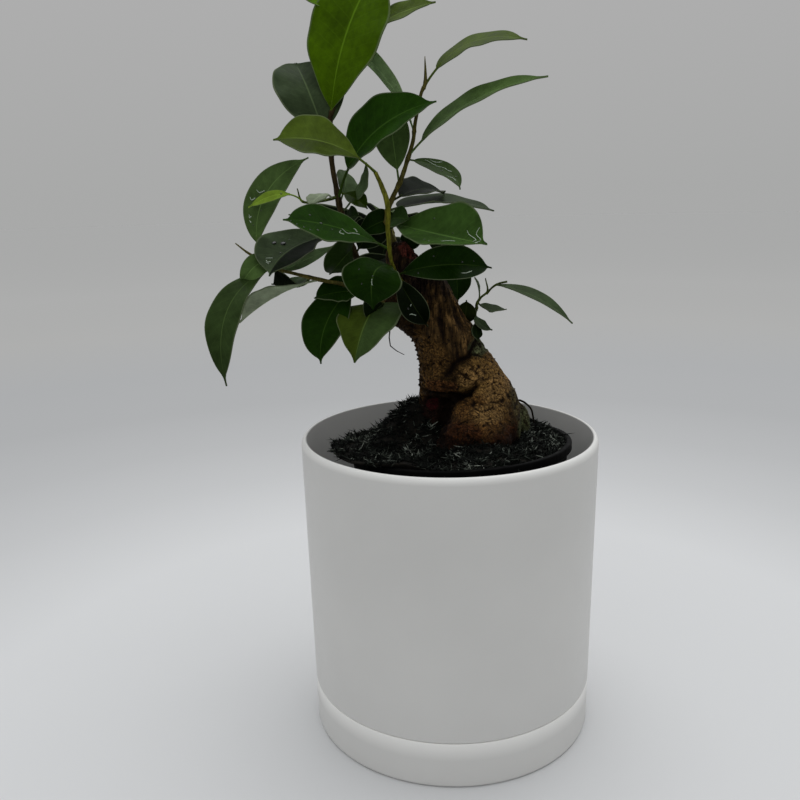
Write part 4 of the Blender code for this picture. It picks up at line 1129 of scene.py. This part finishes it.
backLeftStem = {
    "route": ((-16, 7, 214), (-22, 16, 226), (-26, 28, 237), (-28, 38, 244), (-29, 44, 251)),
    "radii": (1.9, 1.8, 1.6, 1.3, 0.4), "bark": "olive",
    # the under sides of these leaves carry painted shade, deep in the crown
    "leaves": (
        leaf(1.7, (-52, 50, 213), 20, 5, 0, (110, 50), 6, 14, 0.5, "dark", 0.06, below=0.08),
        leaf(2.2, (-83, 50, 254), 22, 5, 0, (110, 60), 6, 14, 0.5, "forest", 0.06, below=0.08),
        leaf(2.6, (-37, 68, 224), 22, 6, 0, (95, 50), 6, 14, 0.5, "dark", 0.06, below=0.08),
        leaf(3.0, (-64, 72, 247), 20, 5, 0, (110, 55), 6, 14, 0.5, "sap", 0.038, below=0.08),
        leaf(3.4, (-40, 80, 252), 20, 5, 0, (90, 50), 6, 14, 0.5, "sap", 0.06, below=0.08),
        leaf(3.7, (-17, 71, 242), 17, 5, 0, (80, 50), 6, 14, 0.5, "sap", 0.06, below=0.08),
    )}
backRightStem = {
    "route": ((-3, 2, 220), (0, 10, 231), (4, 19, 240), (4, 28, 246), (2, 34, 252)),
    "radii": (1.9, 1.8, 1.6, 1.3, 0.4), "bark": "olive",
    # the under sides of these leaves carry painted shade, deep in the crown
    "leaves": (
        leaf(1.7, (5, 23, 210), 15, 1, 0, (-70, 35), 4, 14, 0.5, "forest", 0.018),
        leaf(1.9, (1, 46, 223), 15, 5, 0, (60, 50), 5, 14, 0.5, "sap", 0.05, below=0.3),
        leaf(2.2, (-6, 64, 230), 20, 6, 0, (90, 50), 5, 14, 0.5, "fern", 0.04, below=0.3),
        leaf(2.8, (7, 40, 245), 13, 4, 0, (50, 50), 5, 14, 0.5, "sap", 0.07, below=0.3),
        leaf(3.1, (6, 62, 249), 16, 4, 0, (70, 50), 5, 14, 0.5, "sap", 0.06, below=0.3),
    )}


def makeBladeBlank(look):
    # a flat sheet, across from -1 to 1 and along from 0 to 1, with an upper and an under side
    bpy.ops.mesh.primitive_grid_add(x_subdivisions=look["across"], y_subdivisions=look["along"], size=2.0)
    blank = rename(bpy.context.object, "bladeBlank")
    points = getPoints(blank)
    points[:, 1] = (points[:, 1] + 1) / 2
    setPoints(blank, points)
    for name in ("ficusLeafTop", "ficusLeafUnder"):
        blank.data.materials.append(bpy.data.materials[name])
    applyModifier(blank, "SOLIDIFY", "Thickness", thickness=sheetThickness, offset=0.0, material_offset=1,
                  material_offset_rim=1)
    smooth(blank, 50)
    return blank


def compass(face):
    heading, rise = math.radians(face[0]), math.radians(face[1])
    return Vector((math.cos(heading) * math.cos(rise), math.sin(heading) * math.cos(rise), math.sin(rise)))


def bladeHalfWidth(share, belly, taper):
    # half the width of an elliptic blade, from 0 at its base to 1 at the end of its drip tip
    end = leafLook["end"]
    rounded = np.clip(share / end, 0, 1) ** (math.log(0.5) / math.log(belly / end))
    body = np.clip(np.sin(np.pi * rounded), 0, 1) ** 0.72
    drip = taper * np.clip((1 - share) / 0.16, 0, 1) ** 0.95 * (share > 0.5)
    return (body ** 3 + drip ** 3) ** (1 / 3)


def leafFrame(root, spec):
    # where the leaf starts, its chord, the way it faces, how its midrib curves and its stalk's share of it
    chord = Vector(spec["tip"]) - root
    facing = compass(spec["face"])
    along = chord.normalized()
    normal = (facing - along * facing.dot(along)).normalized()
    curve = normal * spec["arch"] + along.cross(normal) * spec["bow"]
    petiole = min(14.0, 0.24 * chord.length) if spec["petiole"] is None else spec["petiole"]
    return np.array(root), np.array(chord), np.array(normal), np.array(curve), petiole / chord.length


def bladeSurface(root, spec, share, across, layer, seed):
    # where points of the blank lie once the blade is folded on its midrib, arched and waved
    start, chord, normal, curve, foot = leafFrame(root, spec)
    spread = np.sign(across) * np.abs(across) ** 1.25
    t = (foot + (1 - foot) * share)[:, None]
    midrib = start + chord * t + curve * 4 * t * (1 - t)
    tangent = chord + curve * 4 * (1 - 2 * t)
    tangent /= np.linalg.norm(tangent, axis=1)[:, None]
    side = np.cross(tangent, normal)
    side /= np.linalg.norm(side, axis=1)[:, None]
    lift = np.cross(side, tangent)
    least = leafLook["stalk"] + (leafLook["tip"] - leafLook["stalk"]) * share
    half = np.maximum(bladeHalfWidth(share, spec["belly"], spec["taper"]) * spec["width"] / 2, least)
    size = spec["width"] / 25.0
    fold = math.tan(math.radians(spec["fold"]))
    out = np.abs(spread)
    rise = half * fold * (np.sqrt(out ** 2 + 0.012) - 0.11)
    draw = random.Random(seed)
    shift, beat, phase = draw.uniform(0, 6.3), draw.uniform(2.2, 3.6), draw.uniform(1.0, 3.0)
    ripple = np.sin(share * beat * 2 * np.pi + shift + (spread > 0) * phase)
    rise = rise + ripple * out ** 2.5 * spec["wave"] * size * np.sin(np.pi * share)
    ribs = np.exp(-(spread / 0.07) ** 2) * (1 - 0.75 * share)
    rise = rise - ribs * np.where(layer > 0, 0.05, 0.42) * max(size, 0.4)
    vein = np.cos((share * leafLook["veins"] - out * leafLook["sweep"]) * 2 * np.pi)
    vein = vein * 0.05 * size * np.clip(1 - out, 0, 0.5)
    sag = draw.uniform(-0.5, 0.5) * size * np.sin(share * np.pi * 1.7)
    rise = rise + vein + sag * out + layer * leafLook["thickness"] / sheetThickness
    return midrib + side * (spread * half)[:, None] + lift * rise[:, None], side, tangent, lift


def makeBlade(blank, root, spec, seed):
    # a bent copy of the blank, in one tone on each side of the midrib, a difference between the two being
    # painted light on the folded halves
    across, share, layer = getPoints(blank).T
    blade = copyOf(blank, "blade")
    setPoints(blade, bladeSurface(root, spec, share, across, layer, seed)[0] * mm)
    tone, other = np.array(spec["tones"])
    tones = tone + (other - tone) * np.clip(across * 12.0 + 0.5, 0.0, 1.0)[:, None]
    # the under side scaled by its own factor: over 1 its paler tone, under 1 painted shade
    paint(blade, "tint", np.clip(tones * np.where(layer < 0, spec["below"], 1.0)[:, None], 0.0, 1.0))
    return blade


def makeStalk(rod, root, spec):
    start, chord, normal, curve, foot = leafFrame(root, spec)
    route = [tuple(start + chord * t + curve * 4 * t * (1 - t)) for t in np.linspace(0.0, foot + 0.05, 5)]
    stalk = copyOf(rod, "stalk")
    width = 0.36 + spec["width"] * 0.009
    bendRod(stalk, route, (width * 1.25, width, width * 0.95, width * 0.95, width * 0.9))
    paint(stalk, "tint", np.array(spec["tones"][0]) * 1.1 + np.array([0.016, 0.018, 0.004]))
    wear(stalk, "ficusLeafUnder")
    return stalk


# the trails' pale tone is a painted reflection of the light on the wet film
water = {"flat": 0.4, "long": 1.15, "trail": 0.21, "proud": 0.05, "sides": 10, "rings": 6,
         "trailGlint": (0.30, 0.36, 0.28)}


def makeWater(bead, rod, root, spec, seed):
    # drops and thin winding trails that lie on the upper side of a blade, the trails painted pale as a
    # painted reflection on the wet film
    def onBlade(spots):
        shares, across = np.array(spots).T
        return bladeSurface(root, spec, shares, across, np.full(len(spots), sheetThickness / 2), seed)

    pieces = []
    for share, across, size in spec["beads"]:
        (place,), (side,), (along,), (lift,) = onBlade([(share, across)])
        drop = copyOf(bead, "drop")
        x, y, z = getPoints(drop).T * size
        out = side * x[:, None] + along * y[:, None] * water["long"] + lift * z[:, None] * water["flat"]
        setPoints(drop, (place + out) * mm)
        paint(drop, "tint", np.array(spec["tones"][0]) * 0.5 + 0.002)
        pieces.append(drop)
    for trail in spec["trails"]:
        places, sides, tangents, lifts = onBlade(trail)
        trickle = copyOf(rod, "trickle")
        width = water["trail"]
        bendRod(trickle, [tuple(p) for p in places + lifts * water["proud"]],
                [width * 0.6] + [width] * (len(trail) - 2) + [width * 1.2])
        paint(trickle, "tint", water["trailGlint"])
        pieces.append(trickle)
    return pieces


def stemWater(name, twigs, rod, seed):
    bpy.ops.mesh.primitive_uv_sphere_add(segments=water["sides"], ring_count=water["rings"], radius=1.0)
    bead = rename(bpy.context.object, "beadBlank")
    smooth(bead)
    pieces = []
    for twig in twigs:
        for spec in twig["leaves"]:
            seed += 1
            pieces += makeWater(bead, rod, routePoint(twig["route"], spec["at"]), spec, seed)
    bpy.data.objects.remove(bead)
    if pieces:
        drops = joined(pieces, name)
        wear(drops, "leafWater")
        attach(drops, "root")


def stemLeaves(name, node, twigs, blank, rod, seed):
    # all blades and stalks of a leafy stem as one piece
    pieces = []
    for twig in twigs:
        for spec in twig["leaves"]:
            seed += 1
            root = routePoint(twig["route"], spec["at"])
            pieces += [makeBlade(blank, root, spec, seed), makeStalk(rod, root, spec)]
    leaves = joined(pieces, name)
    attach(leaves, "root")
    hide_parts(node)


def stemWood(name, node, twigs, seed):
    # the woody part of a leafy stem, swollen where leaves grow
    pieces = []
    for k, twig in enumerate(twigs):
        rod = rodBlank(f"{name}Rod{k}", 14, (len(twig["route"]) - 1) * 8)
        rings = [spec["at"] for spec in twig["leaves"]]
        bendRod(rod, twig["route"], twig["radii"], rings=rings, rough=0.12, seed=seed + k)
        paint(rod, "tint", twigTones[twig["bark"]])
        pieces.append(rod)
    wood = joined(pieces, name)
    wear(wood, "twigBark")
    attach(wood, "root")
    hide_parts(node)


def leafMaterial(name, under):
    # veins from the blade's own UV: the midrib in the middle, side veins curving to the margin
    tree, shader = freshMaterial(name, 0.38, 0.004 if under else 0.02)
    uv = put(tree, "ShaderNodeSeparateXYZ", {0: put(tree, "ShaderNodeTexCoord").outputs["UV"]})
    off = mathNode(tree, "ABSOLUTE", mathNode(tree, "SUBTRACT", uv.outputs[0], 0.5))
    off = times(tree, off, 2.0)
    along = uv.outputs[1]
    tint = painted(tree, "tint")
    wander = times(tree, objectNoise(tree, 160.0, 2.0), 0.35)
    phase = mathNode(tree, "SUBTRACT", times(tree, along, leafLook["veins"]),
                     times(tree, off, leafLook["sweep"]))
    phase = mathNode(tree, "ADD", phase, wander)
    cycle = mathNode(tree, "ABSOLUTE", mathNode(tree, "SUBTRACT", mathNode(tree, "FRACT", phase), 0.5))
    sideVeins = rampOf(tree, cycle, (0.0, 1.0), (0.075, 0.0))
    sideVeins = times(tree, sideVeins, rampOf(tree, off, (0.72, 1.0), (0.92, 0.0)))
    midrib = rampOf(tree, off, (0.015, 1.0), (0.055, 0.0))
    midrib = times(tree, midrib, rampOf(tree, along, (0.75, 1.0), (1.0, 0.45)))
    margin = rampOf(tree, off, (0.955, 0.0), (0.985, 1.0))
    mottle = objectNoise(tree, 260.0, 5.0, 0.6)
    broad = objectNoise(tree, 60.0, 3.0, 0.5)
    base = toned(tree, tint, rampOf(tree, mottle, (0.3, 0.8), (0.7, 1.22)))
    # broad soft changes of lightness over the blade: partly the leaf's own mottling, partly painted sheen
    base = toned(tree, base, rampOf(tree, broad, (0.3, 0.74), (0.7, 1.28)))
    pale = mixColour(tree, 1.0, tint, tint, "ADD")
    pale = mixColour(tree, 1.0, pale, (0.020, 0.026, 0.008), "ADD")
    base = flecked(tree, base, sideVeins, 0.13, pale)
    base = flecked(tree, base, midrib, 0.8, pale)
    base = flecked(tree, base, margin, 0.55, (0.15, 0.18, 0.10))
    if under:
        base = mixColour(tree, 0.08, base, (0.050, 0.065, 0.035))
    rough = rampOf(tree, mottle, (0.3, 0.55 if under else 0.33), (0.7, 0.65 if under else 0.43))
    height = times(tree, sideVeins, 0.35 if under else -0.2)
    height = mathNode(tree, "ADD", height, times(tree, objectNoise(tree, 1400.0, 3.0, 0.6), 0.18))
    height = mathNode(tree, "ADD", height, times(tree, mottle, 0.3))
    finishShader(tree, shader, base, rough, height, 0.00025, 0.6)


def twigMaterial():
    tree, shader = freshMaterial("twigBark", 0.6, 0.06)
    streaks = objectNoise(tree, 1300.0, 5.0, 0.65, (1.0, 1.0, 0.12), 0.4)
    patches = objectNoise(tree, 230.0, 4.0, 0.6)
    base = toned(tree, painted(tree, "tint"), rampOf(tree, streaks, (0.3, 0.35), (0.7, 1.7)))
    base = toned(tree, base, rampOf(tree, patches, (0.32, 0.6), (0.68, 1.35)))
    pores = rampOf(tree, objectNoise(tree, 2200.0, 2.0, 0.6), (0.62, 0.0), (0.68, 1.0))
    base = flecked(tree, base, pores, 0.22, (0.16, 0.125, 0.06))
    height = mathNode(tree, "ADD", streaks, times(tree, pores, 0.5))
    finishShader(tree, shader, base, rampOf(tree, patches, (0.3, 0.5), (0.7, 0.7)), height, 0.0004, 0.7)


def waterMaterial():
    tree, shader = freshMaterial("leafWater", 0.08, 0.5)
    cloud = objectNoise(tree, 900.0, 3.0)
    base = toned(tree, painted(tree, "tint"), rampOf(tree, cloud, (0.3, 0.6), (0.7, 1.5)))
    finishShader(tree, shader, base, rampOf(tree, cloud, (0.3, 0.04), (0.7, 0.14)))


leafMaterial("ficusLeafTop", False)
leafMaterial("ficusLeafUnder", True)
twigMaterial()
waterMaterial()
bladeBlank = makeBladeBlank(leafLook)
stalkBlank = rodBlank("stalkBlank", 8, 8)
leafyStems = (
    ("leftStem", "leafy_stem_left", (leftStem, sideShoot)),
    ("lowLeftStem", "leafy_stem_low_left", (lowLeftStem,)),
    ("rightStem", "leafy_stem_right", (rightStem,)),
    ("frontStem", "leafy_stem_front", (frontStem,)),
    ("trunkSprout", "trunk_sprout", (trunkSprout, sproutStalk)),
    ("backLeftStem", "leafy_stem_back_left", (backLeftStem,)),
    ("backRightStem", "leafy_stem_back_right", (backRightStem,)),
)
for order, (name, node, twigs) in enumerate(leafyStems):
    stemWood(name + "Wood", node, twigs, order * 10)
    stemLeaves(name + "Leaves", node, twigs, bladeBlank, stalkBlank, order * 100)
    stemWater(name + "Water", twigs, stalkBlank, order * 100)
print("leafy stems made")


# a dead twig under the grafts and a rootlet at the foot: routes in mm, then their thickness

deadWood = {
    "pieces": ((((-22, -4, 211), (-26, -8, 208), (-27.1, -9, 201.8), (-27.1, -9, 193.8), (-20.6, -9, 189.4)),
                (0.5, 0.4, 0.32, 0.28, 0.15)),
               (((30, 4, 163), (35.2, 4, 163.5), (39.1, 4, 161), (41.1, 4, 158), (42.1, 4, 152)),
                (0.6, 0.55, 0.5, 0.45, 0.4))),
    "tone": (0.014, 0.010, 0.006),
}
snags = []
for route, radii in deadWood["pieces"]:
    snag = copyOf(stalkBlank, "snag")
    bendRod(snag, route, radii)
    paint(snag, "tint", deadWood["tone"])
    snags.append(snag)
deadTwigs = joined(snags, "deadTwigs")
wear(deadTwigs, "twigBark")
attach(deadTwigs, "root")
for blank in (bladeBlank, stalkBlank):
    bpy.data.objects.remove(blank)
print("dead twig and rootlet made")
